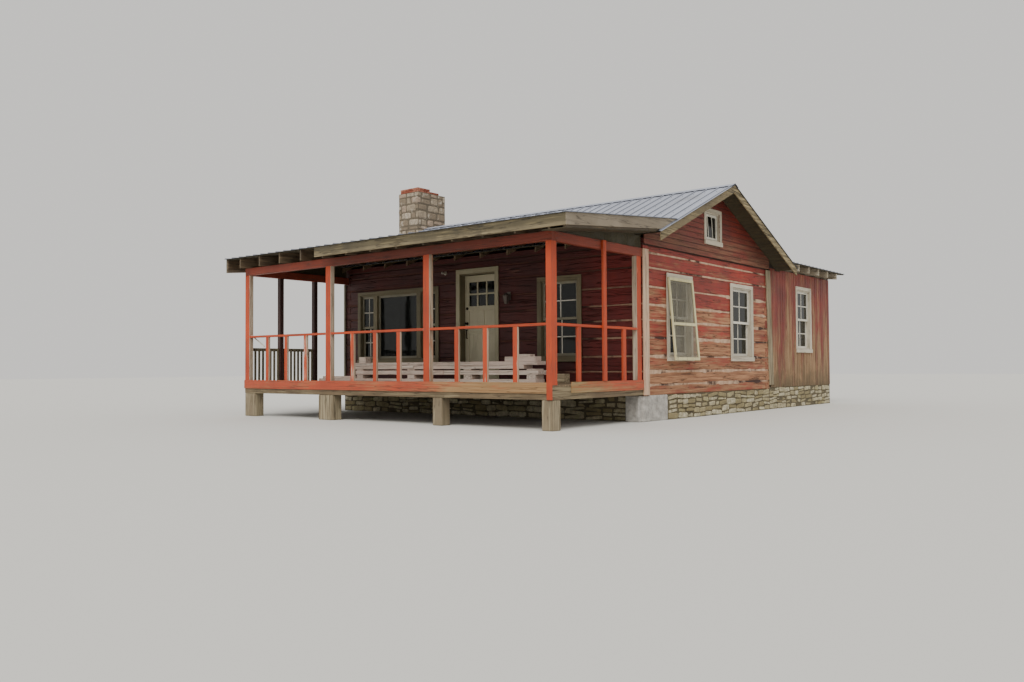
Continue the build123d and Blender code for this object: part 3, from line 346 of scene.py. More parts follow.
def own_copy(node, name):
    """A merged copy of a constructed piece, at the origin."""
    piece = bpy.data.objects.new(name, nodes[node].data.copy())
    bpy.context.scene.collection.objects.link(piece)
    piece.data.materials.clear()
    opened(piece)
    bpy.ops.mesh.remove_doubles(threshold=0.0001)
    bpy.ops.mesh.dissolve_limited(angle_limit=math.radians(0.5))
    closed()
    return piece


def ease(piece, arris):
    """Takes the arrises off a piece."""
    in_hand(piece)
    bevel = piece.modifiers.new("arris", "BEVEL")
    bevel.width = arris
    bevel.segments = 1
    bevel.limit_method = "ANGLE"
    bevel.angle_limit = math.radians(35)
    bpy.ops.object.modifier_apply(modifier=bevel.name)


def fit(piece, slot, *stood_for, body="cabin"):
    """Fixes a finished piece to its body, and hides the constructed pieces that it stands for."""
    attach(piece, body)
    if stood_for:
        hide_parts(*stood_for)


def dress(piece, seed, finish, slot, *stood_for, body="cabin"):
    """Lays a piece's grain, puts its finish on and fixes it to its body."""
    lay_grain(piece, seed)
    piece.data.materials.append(finish)
    fit(piece, slot, *stood_for, body=body)


def eased_timbers(node, name, slot, finish, arris, seed, body="cabin"):
    """A constructed piece with its arrises eased and its grain laid, in a finish."""
    piece = own_copy(node, name)
    ease(piece, arris)
    dress(piece, seed, finish, slot, node, body=body)
    return piece


def other_finish(piece, finish, wanted):
    """Puts another finish on those faces of a piece that pass a test."""
    piece.data.materials.append(finish)
    number = len(piece.data.materials) - 1
    for face in piece.data.polygons:
        if wanted(face):
            face.material_index = number


porch_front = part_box("porch_deck")[0].y
porch_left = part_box("porch_posts")[0].x
corner_post_left = right_face - 0.1
no_tint = (1, 1, 1, 1)
mostly = 0.7
worn_pale = ((150, 132, 112), (196, 180, 160))
scuffed_coats = ((180, 76, 44), (154, 66, 42))
porch_paint = timber_finish("orange_red_paint", ((192, 72, 28), (166, 60, 28)), worn_pale, 0.13)
kick_paint = timber_finish("orange_red_paint_scuffed", scuffed_coats,
                           ((140, 106, 70), (162, 130, 92)), 0.24, wear_scale=3.2, thinned=0.14,
                           fade=("X", right_face - 3.2, right_face - 1.6, 0.0, 0.6))
side_kick_paint = timber_finish("orange_red_paint_scuffed_side", scuffed_coats,
                                ((132, 106, 68), (152, 130, 94)), 0.2, wear_scale=3.2, thinned=0.14,
                                fade=("Y", porch_front + 0.4, porch_front + 1.9, 0.5, 0.0))
# The beam takes a darker copy of the orange-red as painted shade under the porch roof, and past the left
# bay it is darkened further as painted shade under the fascia.
beam_paint = timber_finish("orange_red_paint_shaded", ((150, 64, 42), (126, 54, 38)), worn_pale, 0.18)
tint_along(beam_paint, "X", right_face - 5.1, right_face - 4.7, no_tint, (0.56, 0.56, 0.5, 1))
# Towards its right end the beam's colour is lightened as painted light.
tint_along(beam_paint, "X", right_face - 2.0, right_face - 0.1, no_tint, (1.4, 1.3, 1.3, 1))
# The far left posts are dark brown timber, their colour darkened further as painted shade under the porch
# roof.
shaded_dark_posts = timber_finish("dark_posts_painted_shade", ((74, 44, 40), (56, 36, 34)),
                                ((96, 80, 68), (128, 112, 98)), 0.3)
bare_side = timber_finish("posts_bare_side", ((188, 150, 122), (176, 120, 92)), worn_pale, 0.75,
                          wear_scale=4.0)
posts = eased_timbers("porch_posts", "posts", "porch_red", porch_paint, 0.004, 11)
other_finish(posts, bare_side, lambda face: (
    face.normal.x > mostly and face.center.x < corner_post_left
    or face.normal.y < -mostly and face.center.x > corner_post_left
    and face.center.y > front_face - 0.3))
# Painted shade on the far left posts.
other_finish(posts, shaded_dark_posts, lambda face: (
    face.center.y > porch_front + 0.3 and face.center.x < porch_left + 0.2))
railing = eased_timbers("porch_railing", "railing", "porch_red", porch_paint, 0.003, 12)
other_finish(railing, bare_side,
             lambda face: face.normal.x > mostly and face.center.x < corner_post_left)
eased_timbers("porch_beams", "beams", "porch_red", beam_paint, 0.004, 13)
kicks = eased_timbers("kick_boards", "kick_board", "porch_red", kick_paint, 0.003, 14)
other_finish(kicks, side_kick_paint, lambda face: face.center.x > right_face - 0.002)

# Weathered boards: unpainted sawn softwood gone silver, yellow where the sun and lichen reach it.
# Rims, rake boards, fascias, corner boards, pickets and piers, all face-nailed or stood on end.
silver_wood, rim_wood, brown_wood, dark_tails, tail_wood = [
    timber_finish(name, *tones, 0.5, fineness=30.0) for name, *tones in (
        ("silver_wood", ((142, 128, 104), (116, 102, 80)), ((92, 80, 60), (166, 154, 128))),
        ("brown_rims", ((120, 102, 76), (94, 78, 56)), ((70, 58, 42), (146, 132, 104))),
        ("aged_brown_wood", ((122, 100, 76), (104, 84, 62)), ((84, 70, 54), (146, 126, 100))),
        # The porch rafters' darker brown is painted shade under the porch roof.
        ("sooty_rafter_tails", ((92, 78, 58), (72, 60, 44)), ((58, 48, 34), (118, 102, 80))),
        ("rafter_tails", ((168, 158, 138), (150, 138, 116)), ((110, 98, 80), (190, 182, 164))))]
rake_wood, fascia_wood = [
    timber_finish(name, *tones, 0.5, fineness=26.0, relief=0.006) for name, *tones in (
        ("weathered_rake_boards", ((132, 116, 82), (98, 86, 60)), ((58, 50, 34), (166, 150, 114))),
        ("weathered_fascias", ((106, 96, 72), (78, 70, 52)), ((56, 48, 34), (134, 122, 94))))]
fascia_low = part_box("porch_fascias")[0].z
# The front fascia is darkened at the top as painted shade under the roof's edge, and lightened on its
# lower band as painted light.
tint_along(fascia_wood, "Z", fascia_low + 0.12, fascia_low + 0.17, (1.55, 1.55, 1.6, 1),
           (0.8, 0.8, 0.76, 1))
side_fascia_wood = timber_finish("pale_side_fascias", ((146, 134, 116), (122, 110, 92)),
                                 ((92, 80, 60), (172, 160, 138)), 0.5, fineness=26.0)
pale_board = timber_finish("pale_corner_board", ((214, 176, 148), (200, 158, 130)),
                           ((164, 136, 110), (216, 190, 164)), 0.5)
dark_picket = timber_finish("dark_pickets", ((112, 104, 84), (92, 84, 66)),
                            ((70, 64, 50), (134, 126, 104)), 0.5)
eased_timbers("porch_rims", "rims", "weathered_wood", rim_wood, 0.003, 21)
eased_timbers("rake_boards", "rakes", "weathered_wood", rake_wood, 0.003, 22)
fascias = eased_timbers("porch_fascias", "fascias", "weathered_wood", fascia_wood, 0.003, 23)
other_finish(fascias, side_fascia_wood, lambda face: abs(face.normal.x) > mostly)
corner_boards = eased_timbers("corner_board", "corner_boards", "weathered_wood", pale_board, 0.002,
                              24)
other_finish(corner_boards, silver_wood, lambda face: face.center.y > 0)
eased_timbers("end_pickets", "pickets", "weathered_wood", dark_picket, 0.002, 25)
eased_timbers("porch_piers", "piers", "weathered_wood", silver_wood, 0.012, 26)

# Frame timbers inside and under the roof: sawn rafters, joists and plates, never painted, brown
# with age. Rafter tails stand out in the open under the eaves.
# The porch rafters take the darker brown, which is painted shade under the porch roof.
for node, name, finish, seed in (("porch_rafters", "porch_roof_rafters", dark_tails, 31),
                                 ("wing_rafters", "wing_roof_rafters", tail_wood, 32),
                                 ("main_rafters", "roof_rafters", brown_wood, 33),
                                 ("floor_joists", "joists", brown_wood, 34)):
    eased_timbers(node, name, "bare_wood", finish, 0.002, seed)

# Log walls: logs hewn flat on two sides with an axe and lapped at the corners. Barn-red paint is
# bright under the gable and washed off towards the ground.
log_red = timber_finish("hewn_red_logs", ((160, 50, 34), (126, 42, 32)),
                        ((124, 82, 58), (178, 132, 98)), 0.42, fineness=24.0, relief=0.014,
                        wear_scale=3.4, damp=0.16, thinned=0.11,
                        fade=("Z", deck_top + 0.1, deck_top + 2.1, 0.34, -0.08))
# The front wall under the porch roof takes a darker, less worn copy of the red as painted shade.
shaded_red = timber_finish("hewn_red_logs_shaded", ((84, 30, 26), (66, 25, 24)),
                           ((90, 56, 48), (120, 84, 72)), 0.14, fineness=20.0, relief=0.012,
                           wear_scale=2.6)
# Towards its right end the front wall's red is lightened as painted light.
tint_along(shaded_red, "X", right_face - 1.7, right_face - 0.5, no_tint, (2.2, 1.25, 1.2, 1))
hewing_step = 0.22
hewn_hollow = 0.009
wavy_edge = 0.011
near_edge = 0.03
near_face = 0.02
corner_lap = 0.02


def cut_across(piece, axis, start, end, step):
    """Cuts a piece through at even steps, so that it can be given a hewn surface."""
    opened(piece)
    normal = [0, 0, 0]
    normal[axis] = 1
    place = start + step
    while place < end - step / 2:
        bpy.ops.mesh.select_all(action="SELECT")
        point = [0, 0, 0]
        point[axis] = place
        bpy.ops.mesh.bisect(plane_co=point, plane_no=normal)
        place += step
    closed()


def hew(piece, axis, outer, outward, courses, seed):
    """Waves each log's upper and lower edges and hollows its outer face a little."""
    for point in piece.data.vertices:
        at = point.co.copy()
        run = at[axis]
        nearest = min(courses, key=lambda line: abs(line - at.z))
        above = 1 if at.z > nearest else -1
        if abs(at.z - nearest) < near_edge:
            sway = noise.noise(Vector((run * 1.1, nearest * 9 + above * 2.7, seed)))
            tooth = noise.noise(Vector((run * 4.3, nearest * 9 - above * 5.1, seed + 9)))
            point.co.z += wavy_edge * (0.9 * sway + 0.5 * tooth)
        depth = 1 - axis
        if abs(at[depth] - outer) < near_face:
            dish = noise.noise(Vector((run * 1.7, at.z * 5.2, seed + 4)))
            dish += 0.6 * noise.noise(Vector((run * 5.3, at.z * 11.0, seed + 6)))
            point.co[depth] -= outward * hewn_hollow * (0.62 + 0.6 * max(-1, min(1, dish)))


chink_copy = own_copy("chinking", "chinking_strips")
course_lines = sorted({round(sum(span_of(chink_copy.data, part)[k].z for k in (0, 1)) / 2, 3)
                       for part in loose_parts(chink_copy.data)})
log_walls = (("right_wall_logs", 1, right_face, 1, log_red, shaded_red),
             ("left_wall_logs", 1, left_face, -1, log_red, shaded_red),
             ("front_wall_logs", 0, front_face, -1, shaded_red, log_red),
             ("rear_wall_logs", 0, rear_face, 1, log_red, shaded_red))


def turns_corner(face):
    """Whether a face shows on the wall round the corner, where that wall's finish goes on."""
    if finish == shaded_red:
        within = left_face + corner_lap <= face.center.x <= right_face - corner_lap
        return abs(face.normal.x) > mostly and not within
    return face.normal.y < -mostly and face.center.y < front_face + corner_lap


for number, (node, axis, outer, outward, finish, around_corner) in enumerate(log_walls):
    logs = own_copy(node, node.replace("_logs", "_hewn"))
    low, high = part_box(node)
    cut_across(logs, axis, low[axis], high[axis], hewing_step)
    for lower, upper in zip([low.z] + course_lines, course_lines + [high.z]):
        if upper - lower > 0.1:
            cut_across(logs, 2, lower, upper, (upper - lower) / 2)
    hew(logs, axis, outer, outward, course_lines, number * 17.0)
    lay_grain(logs, 40 + number)
    in_hand(logs)
    bpy.ops.object.shade_smooth_by_angle(angle=math.radians(24))
    logs.data.materials.append(finish)
    other_finish(logs, around_corner, turns_corner)
    fit(logs, "log_red", node)

# Chinking: lime mortar pressed between the logs over splints, pale and rough, broken away here and
# there lower down so that the joint is dark.
chink_swell = 0.026
chink_smear = 0.013
chink_step = 0.11
for axis, start, end in ((0, left_face, right_face), (1, front_face, rear_face)):
    cut_across(chink_copy, axis, start, end, chink_step)
for part in loose_parts(chink_copy.data):
    low, high = span_of(chink_copy.data, part)
    side = 1 if high.x - low.x < high.y - low.y else 0
    in_front = not side and high.y < front_face + 0.2
    for point in part:
        at = chink_copy.data.vertices[point].co
        smear = noise.noise(Vector((at[side] * 1.3, round(low.z, 2) * 7.0, side * 3.0 + low.x)))
        smear += 0.5 * noise.noise(Vector((at[side] * 6.1, round(low.z, 2) * 5.0, side + 8.0)))
        smear = max(0.0, min(1.0, 0.25 + 1.5 * smear))
        if in_front or at.z > deck_top + 1.75:
            smear *= 0.15
        above = at.z > (low.z + high.z) / 2
        at.z += (0.004 + chink_swell * smear) * (0.6 if above else -1.0)
        if side and (at.x > right_face - 0.1 or at.x < left_face + 0.1):
            at.x += chink_smear * smear * (1 if at.x > 0 else -1)
        if not side and not in_front and at.y > rear_face - 0.1:
            at.y += chink_smear * smear
mortar, shader, place = new_material("lime_chinking")
lumps = noise_at(place, 9.0, 5.0)
lime = blend(spread(lumps, 0.35, 0.65), paint(202, 172, 146), paint(170, 138, 114))
up = part_of(place, "Z")
lost_share = spread(up, deck_top, deck_top + 1.6, 0.43, 0.38)
lost_and_shadowed = spread(maths("SUBTRACT", noise_at(place, 1.1, 5.0), lost_share), -0.02, 0.05, 1.0, 0.0)
# The top course is dark all along as a painted shadow under the clapboards.
lost_and_shadowed = maths("MAXIMUM", lost_and_shadowed, maths("GREATER_THAN", up, course_lines[-1] - 0.03))
# On the front wall the lime is blended to dark maroon as painted shade under the porch roof, least at the
# right end and most near the top.
on_front = maths("LESS_THAN", part_of(place, "Y"), front_face + 0.11)
shade_to_left = spread(part_of(place, "X"), 1.4, right_face, 0.92, 0.3)
shade_up_high = spread(up, deck_top + 1.3, deck_top + 1.7, 0.0, 0.94)
front_shade = times(on_front, maths("MAXIMUM", shade_to_left, shade_up_high))
lime = blend(front_shade, lime, paint(74, 36, 32))
grit = times(noise_at(place, 60.0, 4.0), 0.3)
feed(shader, Base_Color=blend(lost_and_shadowed, lime, paint(66, 44, 38)), Roughness=0.95,
     Normal=bumps(maths("ADD", lumps, grit), 1.0, 0.012))
chink_copy.data.materials.append(mortar)
fit(chink_copy, "chinking", "chinking")

# Window and door frames: plain boards planed and nailed, painted off-white and weathered, with
# sashes of the same. Jambs line the openings, and casings and sills lie on the logs.
white_woods = ((150, 140, 122), (176, 168, 150))
trim_paint = timber_finish("off_white_trim", ((206, 198, 180), (186, 176, 156)), white_woods, 0.28,
                           wear_scale=5.0, cracked=0.45)
sash_paint = timber_finish("off_white_sash", ((226, 222, 210), (206, 202, 188)), white_woods, 0.16,
                           wear_scale=6.0, cracked=0.3)
door_trim = timber_finish("cream_door_trim", ((172, 166, 138), (156, 150, 122)), white_woods, 0.16,
                          wear_scale=5.0, cracked=0.3)
# The frames and sashes on the front wall take olive, duller copies of their paint as painted shade under
# the porch roof.
shade_trim = timber_finish("olive_shaded_trim", ((122, 114, 88), (108, 100, 76)),
                           ((92, 84, 62), (132, 124, 100)), 0.2, wear_scale=5.0, cracked=0.3)
shade_sash = timber_finish("front_sash_painted_shade", ((150, 146, 128), (132, 126, 106)), white_woods, 0.16,
                           wear_scale=6.0, cracked=0.3)
jambs, heads, side_casings, head_casings = [
    eased_timbers(node, name, "trim_white", trim_paint, arris, seed) for node, name, arris, seed in (
        ("side_jambs", "jambs", 0.002, 51), ("heads_and_sills", "heads_and_sill_boards", 0.002, 52),
        ("side_casings", "side_boards", 0.003, 53), ("head_casings", "head_and_sill_casings", 0.003, 54))]
door_low, door_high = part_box("door_slab")
casing_reach = 0.14
reveal_deep = 0.17
for casing in (side_casings, head_casings):
    other_finish(casing, door_trim, lambda face: (
        door_low.x - casing_reach < face.center.x < door_high.x + casing_reach
        and face.center.y < front_face + 0.01))
sashes = eased_timbers("window_sashes", "sashes", "trim_white", sash_paint, 0.002, 55)
# Painted shade on the front wall's frames and sashes.
for piece in (jambs, heads, side_casings, head_casings, sashes):
    other_finish(piece, shade_sash if piece == sashes else shade_trim, lambda face: (
        face.center.y < front_face + reveal_deep and abs(face.center.x) < right_face - 0.2
        and face.material_index == 0))

openings = {}
for part in loose_parts(heads.data):
    low, high = span_of(heads.data, part)
    key = tuple(round(v, 2) for v in (low.x, low.y, high.x, high.y))
    openings.setdefault(key, []).append((low, high))
openings = [(min(a[0].z for a in pair), max(a[1].z for a in pair), pair[0][0], pair[0][1])
            for pair in openings.values() if len(pair) == 2]

# Glazing bars: thin bars that part each sliding sash into four panes, and two leaning bars in the
# attic sash. The picture window's wide middle light has none.
bar_width = 0.022
bar_depth = 0.016
sash_rail = 0.045
bar_tuck = 0.004
wide_light = 1.0
attic_lean = math.radians(7)
bar_arris = 0.002


def block(name, low, high, arris=0.0):
    """A squared piece between two corners, with its arrises taken off."""
    bpy.ops.object.select_all(action="DESELECT")
    bpy.ops.mesh.primitive_cube_add(size=1, location=(Vector(low) + Vector(high)) / 2)
    piece = bpy.context.object
    piece.name = name
    piece.scale = Vector(high) - Vector(low)
    bpy.ops.object.transform_apply(location=True, rotation=True, scale=True)
    if arris:
        opened(piece)
        bpy.ops.mesh.bevel(offset=arris, segments=1, affect="EDGES")
        closed()
    return piece


def gather(name, pieces):
    """Joins pieces into one, under a name."""
    bpy.ops.object.select_all(action="DESELECT")
    for piece in pieces:
        piece.select_set(True)
    bpy.context.view_layer.objects.active = pieces[0]
    if len(pieces) > 1:
        bpy.ops.object.join()
    pieces[0].name = name
    pieces[0].data.name = name
    return pieces[0]


bars = []
for part in loose_parts(sashes.data):
    low, high = span_of(sashes.data, part)
    size = high - low
    flat = 0 if size.x < size.y else 1
    run = 1 - flat
    middle = (low + high) / 2
    if size[run] > wide_light:
        continue
    foot = low.z + sash_rail - bar_tuck
    head = high.z - sash_rail + bar_tuck
    in_attic = low.z > course_lines[-1]
    start, end = Vector((0, 0, foot)), Vector((0, 0, head))
    start[flat], end[flat] = middle[flat] - bar_depth / 2, middle[flat] + bar_depth / 2
    for share in ((1 / 3, 2 / 3) if in_attic else (0.5,)):
        at = low[run] + share * size[run]
        start[run], end[run] = at - bar_width / 2, at + bar_width / 2
        bar = block("bar", start, end, bar_arris)
        if in_attic:
            for point in bar.data.vertices:
                point.co[run] += math.tan(attic_lean) * (middle.z - point.co.z)
        bars.append(bar)
    if not in_attic:
        start[run], end[run] = low[run] + sash_rail - bar_tuck, high[run] - sash_rail + bar_tuck
        start.z, end.z = middle.z - bar_width / 2, middle.z + bar_width / 2
        bars.append(block("bar", start, end, bar_arris))
dress(gather("glazing_bars", bars), 56, sash_paint, "trim_white")


# Glass: old drawn glass, a little wavy and dusty, its colour painted near black as painted shade of the
# unlit rooms behind it.
def coat_nodes(finish, *names):
    """Puts a finish on constructed pieces that stay as they are."""
    for name in names:
        for holder in nodes[name].material_slots:
            holder.material = finish


glass, shader, place = new_material("old_window_glass")
feed(shader, Base_Color=blend(noise_at(place, 2.6, 6.0), paint(12, 15, 14), paint(34, 38, 34)),
     Roughness=0.06, Specular_IOR_Level=0.3, Alpha=0.86,
     Normal=bumps(noise_at(place, 3.0, 1.0), 0.3, 0.01))
coat_nodes(glass, "window_glass", "door_glass")

# Storm sash: a cream frame hooked over the head of the first side window, swung out at its foot.
# Fine grey wire screen is tacked into its two fields.
cream_paint = timber_finish("cream_storm_sash", ((216, 208, 164), (200, 192, 146)), white_woods,
                            0.14, wear_scale=6.0)
eased_timbers("storm_sash", "storm_frame", "storm_cream", cream_paint, 0.003, 57)
wires_per_metre = 560.0
wire_share = 0.24
screen, shader, place = new_material("wire_screen")
wires = [maths("LESS_THAN", maths("FRACT", times(part_of(place, axis), wires_per_metre)), wire_share)
         for axis in "YZ"]
feed(shader, Alpha=times(maths("MAXIMUM", *wires), 0.95), Roughness=0.6,
     Base_Color=blend(noise_at(place, 3.0, 5.0), paint(104, 100, 86), paint(140, 134, 116)))
coat_nodes(screen, "storm_screen")

# Front door: a framed door of six lights over two pairs of sunk panels, painted cream. It hangs on
# three butt hinges and has a round knob, a bolt above it and a pull handle below.
door_paint = timber_finish("cream_door", ((190, 184, 158), (176, 170, 144)), white_woods, 0.08,
                           wear_scale=5.0, cracked=0.12)
eased_timbers("door_slab", "door_leaf", "door_paint", door_paint, 0.003, 58, body="door")


def metal_finish(name, dark, light, rough, metallic):
    """Bare or tarnished metal in two cloudy tones."""
    material, shader, place = new_material(name)
    clouds = noise_at(place, 40.0, 5.0)
    feed(shader, Base_Color=blend(clouds, paint(*dark), paint(*light)), Metallic=metallic,
         Roughness=spread(clouds, 0.3, 0.7, rough - 0.1, rough + 0.15))
    return material


black_iron = metal_finish("black_iron", (26, 24, 22), (58, 50, 44), 0.5, 0.8)
coat_nodes(black_iron, "door_hardware", "hinge_jamb_leaves", "hinge_door_leaves")

# Gable clapboards: thin tapered boards nailed up from the foot, each lapping the one below, under
# barn-red paint that has left the lowest rows grey-brown. The attic window is cut through them.
gable_low, gable_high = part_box("gable_siding")
roof_slope = 5 / 11.7
roof_pitch = math.atan(roof_slope)
ridge_y = (front_face + rear_face) / 2
board_show = 0.098
board_deep = 0.116
board_thick = 0.015
board_feather = 0.004
board_foot = gable_low.z - 0.012
joint_from_end = 1.2
half_joint = 0.001
unlevel = 0.002
noise.seed_set(5)


def pick(piece, wanted):
    """Picks some points of a piece, and leaves it open in edit mode."""
    opened(piece)
    bpy.ops.mesh.select_mode(type="VERT")
    bpy.ops.mesh.select_all(action="DESELECT")
    closed()
    for point in piece.data.vertices:
        point.select = wanted(point.co)
    bpy.ops.object.mode_set(mode="EDIT")


def round_piece(name, sides, radius, depth, at, turn=(0, 0, 0)):
    """A short round piece with its middle at a place."""
    bpy.ops.object.select_all(action="DESELECT")
    bpy.ops.mesh.primitive_cylinder_add(vertices=sides, radius=radius, depth=depth, location=at,
                                        rotation=turn)
    piece = bpy.context.object
    piece.name = name
    bpy.ops.object.transform_apply(location=True, rotation=True, scale=True)
    return piece


def repeat(pattern, name, places, roughness=0.0):
    """Copies a modelled piece to many places as one mesh, each copy a little uneven."""
    whole = bmesh.new()
    for place in places:
        start = len(whole.verts)
        whole.from_mesh(pattern.data)
        whole.verts.ensure_lookup_table()
        for point in whole.verts[start:]:
            point.co = place @ point.co
            if roughness:
                point.co += noise.noise_vector(point.co * 9.0) * roughness
    data = bpy.data.meshes.new(name)
    whole.to_mesh(data)
    whole.free()
    piece = bpy.data.objects.new(name, data)
    bpy.context.scene.collection.objects.link(piece)
    return piece


def trim(piece, point, normal, **side):
    """Cuts a piece at a plane, and closes what is left."""
    opened(piece)
    bpy.ops.mesh.bisect(plane_co=point, plane_no=normal, use_fill=True, **side)
    closed()


def line_along(material, axis, start, pitch, side, limit, share, tone):
    """Darkens a finish in a line at each board's edge."""
    shader, before, at = colour_along(material, axis)
    within = maths("FRACT", maths("DIVIDE", maths("SUBTRACT", at, start), pitch))
    feed(shader, Base_Color=blend(times(maths(side, within, limit), share), before, paint(*tone)))


clapboard = block("clapboard", (0, 0, 0), (board_thick, 1, board_deep))
pick(clapboard, lambda co: co.x > board_thick / 2 and co.z > board_deep / 2)
bpy.ops.transform.translate(value=(board_feather - board_thick, 0, 0))
closed()
attic = next(hole for hole in openings if hole[0] > course_lines[-1])
red_boards = timber_finish("red_clapboards", ((138, 50, 36), (108, 42, 32)),
                           ((104, 74, 54), (142, 104, 80)), 0.36, wear_scale=2.6, thinned=0.16,
                           fade=("Z", gable_low.z + 0.1, gable_low.z + 0.75, 0.34, -0.08))
# A dark line just under each board's butt is partly dirt along the lap and partly a painted shadow of the
# lap.
line_along(red_boards, "Z", board_foot, board_show, "GREATER_THAN", 0.84, 0.6, (46, 24, 20))
for name, face_x, outward in (("right_clapboards", gable_high.x, 1),
                              ("left_clapboards", gable_low.x, -1)):
    draw = random.Random(61 + outward)
    turn = Matrix.Rotation(0 if outward > 0 else math.pi, 4, "Z")
    places = []
    row_foot = board_foot
    while row_foot < gable_high.z - board_show / 2:
        if outward > 0 and attic[0] - board_deep < row_foot < attic[1]:
            runs = [(front_face, attic[2].y + 0.02), (attic[3].y - 0.02, rear_face)]
        else:
            joint = draw.uniform(front_face + joint_from_end, rear_face - joint_from_end)
            runs = [(front_face, joint - half_joint), (joint + half_joint, rear_face)]
        for start, end in runs:
            at = Vector((face_x, start if outward > 0 else end,
                         row_foot + draw.uniform(-unlevel, unlevel)))
            places.append(Matrix.Translation(at) @ turn
                          @ Matrix.Diagonal((1, end - start, 1, 1)))
        row_foot += board_show
    boards = repeat(clapboard, name, places)
    for side in (-1, 1):
        trim(boards, (0, ridge_y, gable_high.z),
             (0, side * math.sin(roof_pitch), math.cos(roof_pitch)), clear_outer=True)
    dress(boards, 62, red_boards, "siding_red")
bpy.data.objects.remove(clapboard)
coat_nodes(red_boards, "gable_siding")
# The wall plates take a dark maroon as painted shade under the eaves.
coat_nodes(timber_finish("red_wall_plates", ((90, 32, 28), (74, 28, 26)),
                         ((96, 60, 50), (126, 90, 78)), 0.2, along="X"), "wall_plates")

# Wing boards: upright planks of uneven width nailed to the frame behind, red above and washed to
# tan and grey below, with dark mould along the foot.
wing_low, wing_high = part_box("wing_walls")
plank_thick = 0.013
plank_width = 0.135
roof_drop = 0.16
main_eave = 0.46
eave_board = 0.032
under_roof = 0.012
frame_edge = 0.03
infill_lap = 0.1
planks_from = rear_face + 0.058
uneven_width = 0.028
wing_red = timber_finish("red_wing_boards", ((136, 46, 32), (104, 38, 30)),
                         ((98, 72, 46), (172, 140, 106)), 0.4, damp=1.15, thinned=0.1,
                         fade=("Z", wing_low.z + 0.15, wing_low.z + 1.9, 0.4, -0.06))
backing = timber_finish("dark_backing_boards", ((52, 36, 28), (42, 30, 24)),
                        ((46, 36, 28), (64, 50, 40)), 0.4, along="Z")
coat_nodes(backing, "wing_walls")
plank = block("plank", (0, 0, 0), (1, 1, 1), 0.02)
wing_roof_low, wing_roof_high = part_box("wing_rafters")
wing_slope = 0.095
eave_clear = rear_face + main_eave + eave_board
planks = []
draw = random.Random(71)


def plank_top(side, at):
    """The top of the wing's wall: level at the sides, under the main eave, sloped at the rear."""
    if side == "rear":
        return wing_roof_low.z + roof_drop - 0.03 + wing_slope * (wing_roof_high.x - at)
    face_x = wing_high.x if side == "right" else wing_low.x
    top = wing_roof_low.z + wing_slope * (wing_roof_high.x - face_x) - under_roof
    if at < eave_clear:
        top = min(top, gable_high.z - roof_slope * abs(at - ridge_y) - under_roof)
    return top


for side, start, end, face in (("right", planks_from, wing_high.y, wing_high.x),
                               ("left", planks_from, wing_high.y, wing_low.x),
                               ("rear", wing_low.x, wing_high.x, wing_high.y)):
    axis = 0 if side == "rear" else 1
    holes = [h for h in openings if abs((h[3] if side != "left" else h[2])[1 - axis] - face) < 0.02
             and h[2].y > rear_face]
    marks = [start]
    for hole in holes:
        marks += [hole[2][axis] - frame_edge, hole[3][axis] + frame_edge]
    marks.append(end)
    for first, last in zip(marks, marks[1:]):
        count = max(1, round((last - first) / plank_width))
        cuts = [first + (last - first) * k / count for k in range(count + 1)]
        for k in range(1, count):
            cuts[k] += draw.uniform(-uneven_width, uneven_width)
        for a, b in zip(cuts, cuts[1:]):
            top = min(plank_top(side, a), plank_top(side, b))
            spans = [(wing_low.z - draw.uniform(0.0, 0.012), top)]
            for hole in holes:
                if hole[2][axis] < (a + b) / 2 < hole[3][axis]:
                    spans = [(spans[0][0], hole[0] - frame_edge), (hole[1] + frame_edge, top)]
            for low_z, high_z in spans:
                proud = plank_thick + draw.uniform(-0.004, 0.0)
                gap = draw.uniform(0.003, 0.008)
                low = Vector((face, face, low_z))
                low[axis] = a + gap
                size = Vector((proud, proud, high_z - low_z))
                size[axis] = b - a - 2 * gap
                if side == "left":
                    low.x -= proud
                planks.append(Matrix.Translation(low) @ Matrix.Diagonal((*size, 1)))
wing_boards = repeat(plank, "wing_planks", planks, 0.0012)
wing_edge = gable_high.z - roof_slope * (rear_face + main_eave - ridge_y)
under_wing_roof = wing_roof_low.z + roof_drop + wing_slope * (wing_roof_high.x - wing_low.x) - 0.025
meets_at = ridge_y + (gable_high.z - under_wing_roof) / roof_slope
planks = []
at = meets_at - infill_lap
while at < rear_face + main_eave:
    planks.append(Matrix.Translation((wing_low.x - plank_thick, at + 0.003, wing_edge - infill_lap))
                  @ Matrix.Diagonal((plank_thick, plank_width - 0.006,
                                     under_wing_roof - wing_edge + infill_lap, 1)))
    at += plank_width
infill = repeat(plank, "wing_roof_infill", planks)
bpy.data.objects.remove(plank)
trim(infill, (0, ridge_y, gable_high.z + 0.024), (0, math.sin(roof_pitch), math.cos(roof_pitch)),
     clear_inner=True)
dress(infill, 74, wing_red, "siding_red")
dress(wing_boards, 72, wing_red, "siding_red")

# Roof: ribbed galvanised sheets screwed through to boards, dull blue-grey, with a bent ridge cap.
# Rain has left pale streaks down the slope, and the sheets differ a little from each other.
sheet_width = 0.916
sheet_metal, shader, place = new_material("galvanised_sheet")
tree = sheet_metal.node_tree
number = maths("FLOOR", maths("DIVIDE", part_of(place, "X"), sheet_width))
own = add_node(tree, "TexWhiteNoise", {"noise_dimensions": "1D"}, W=number).outputs["Value"]
down_slope = add_node(tree, "Mapping", n0=place, n3=(26.0, 0.8, 0.8)).outputs[0]
streak = noise_at(down_slope, 1.0, 5.0)
grime = spread(noise_at(place, 0.9, 6.0), 0.6, 0.75)
facing = add_node(tree, "TexCoord").outputs["Normal"]
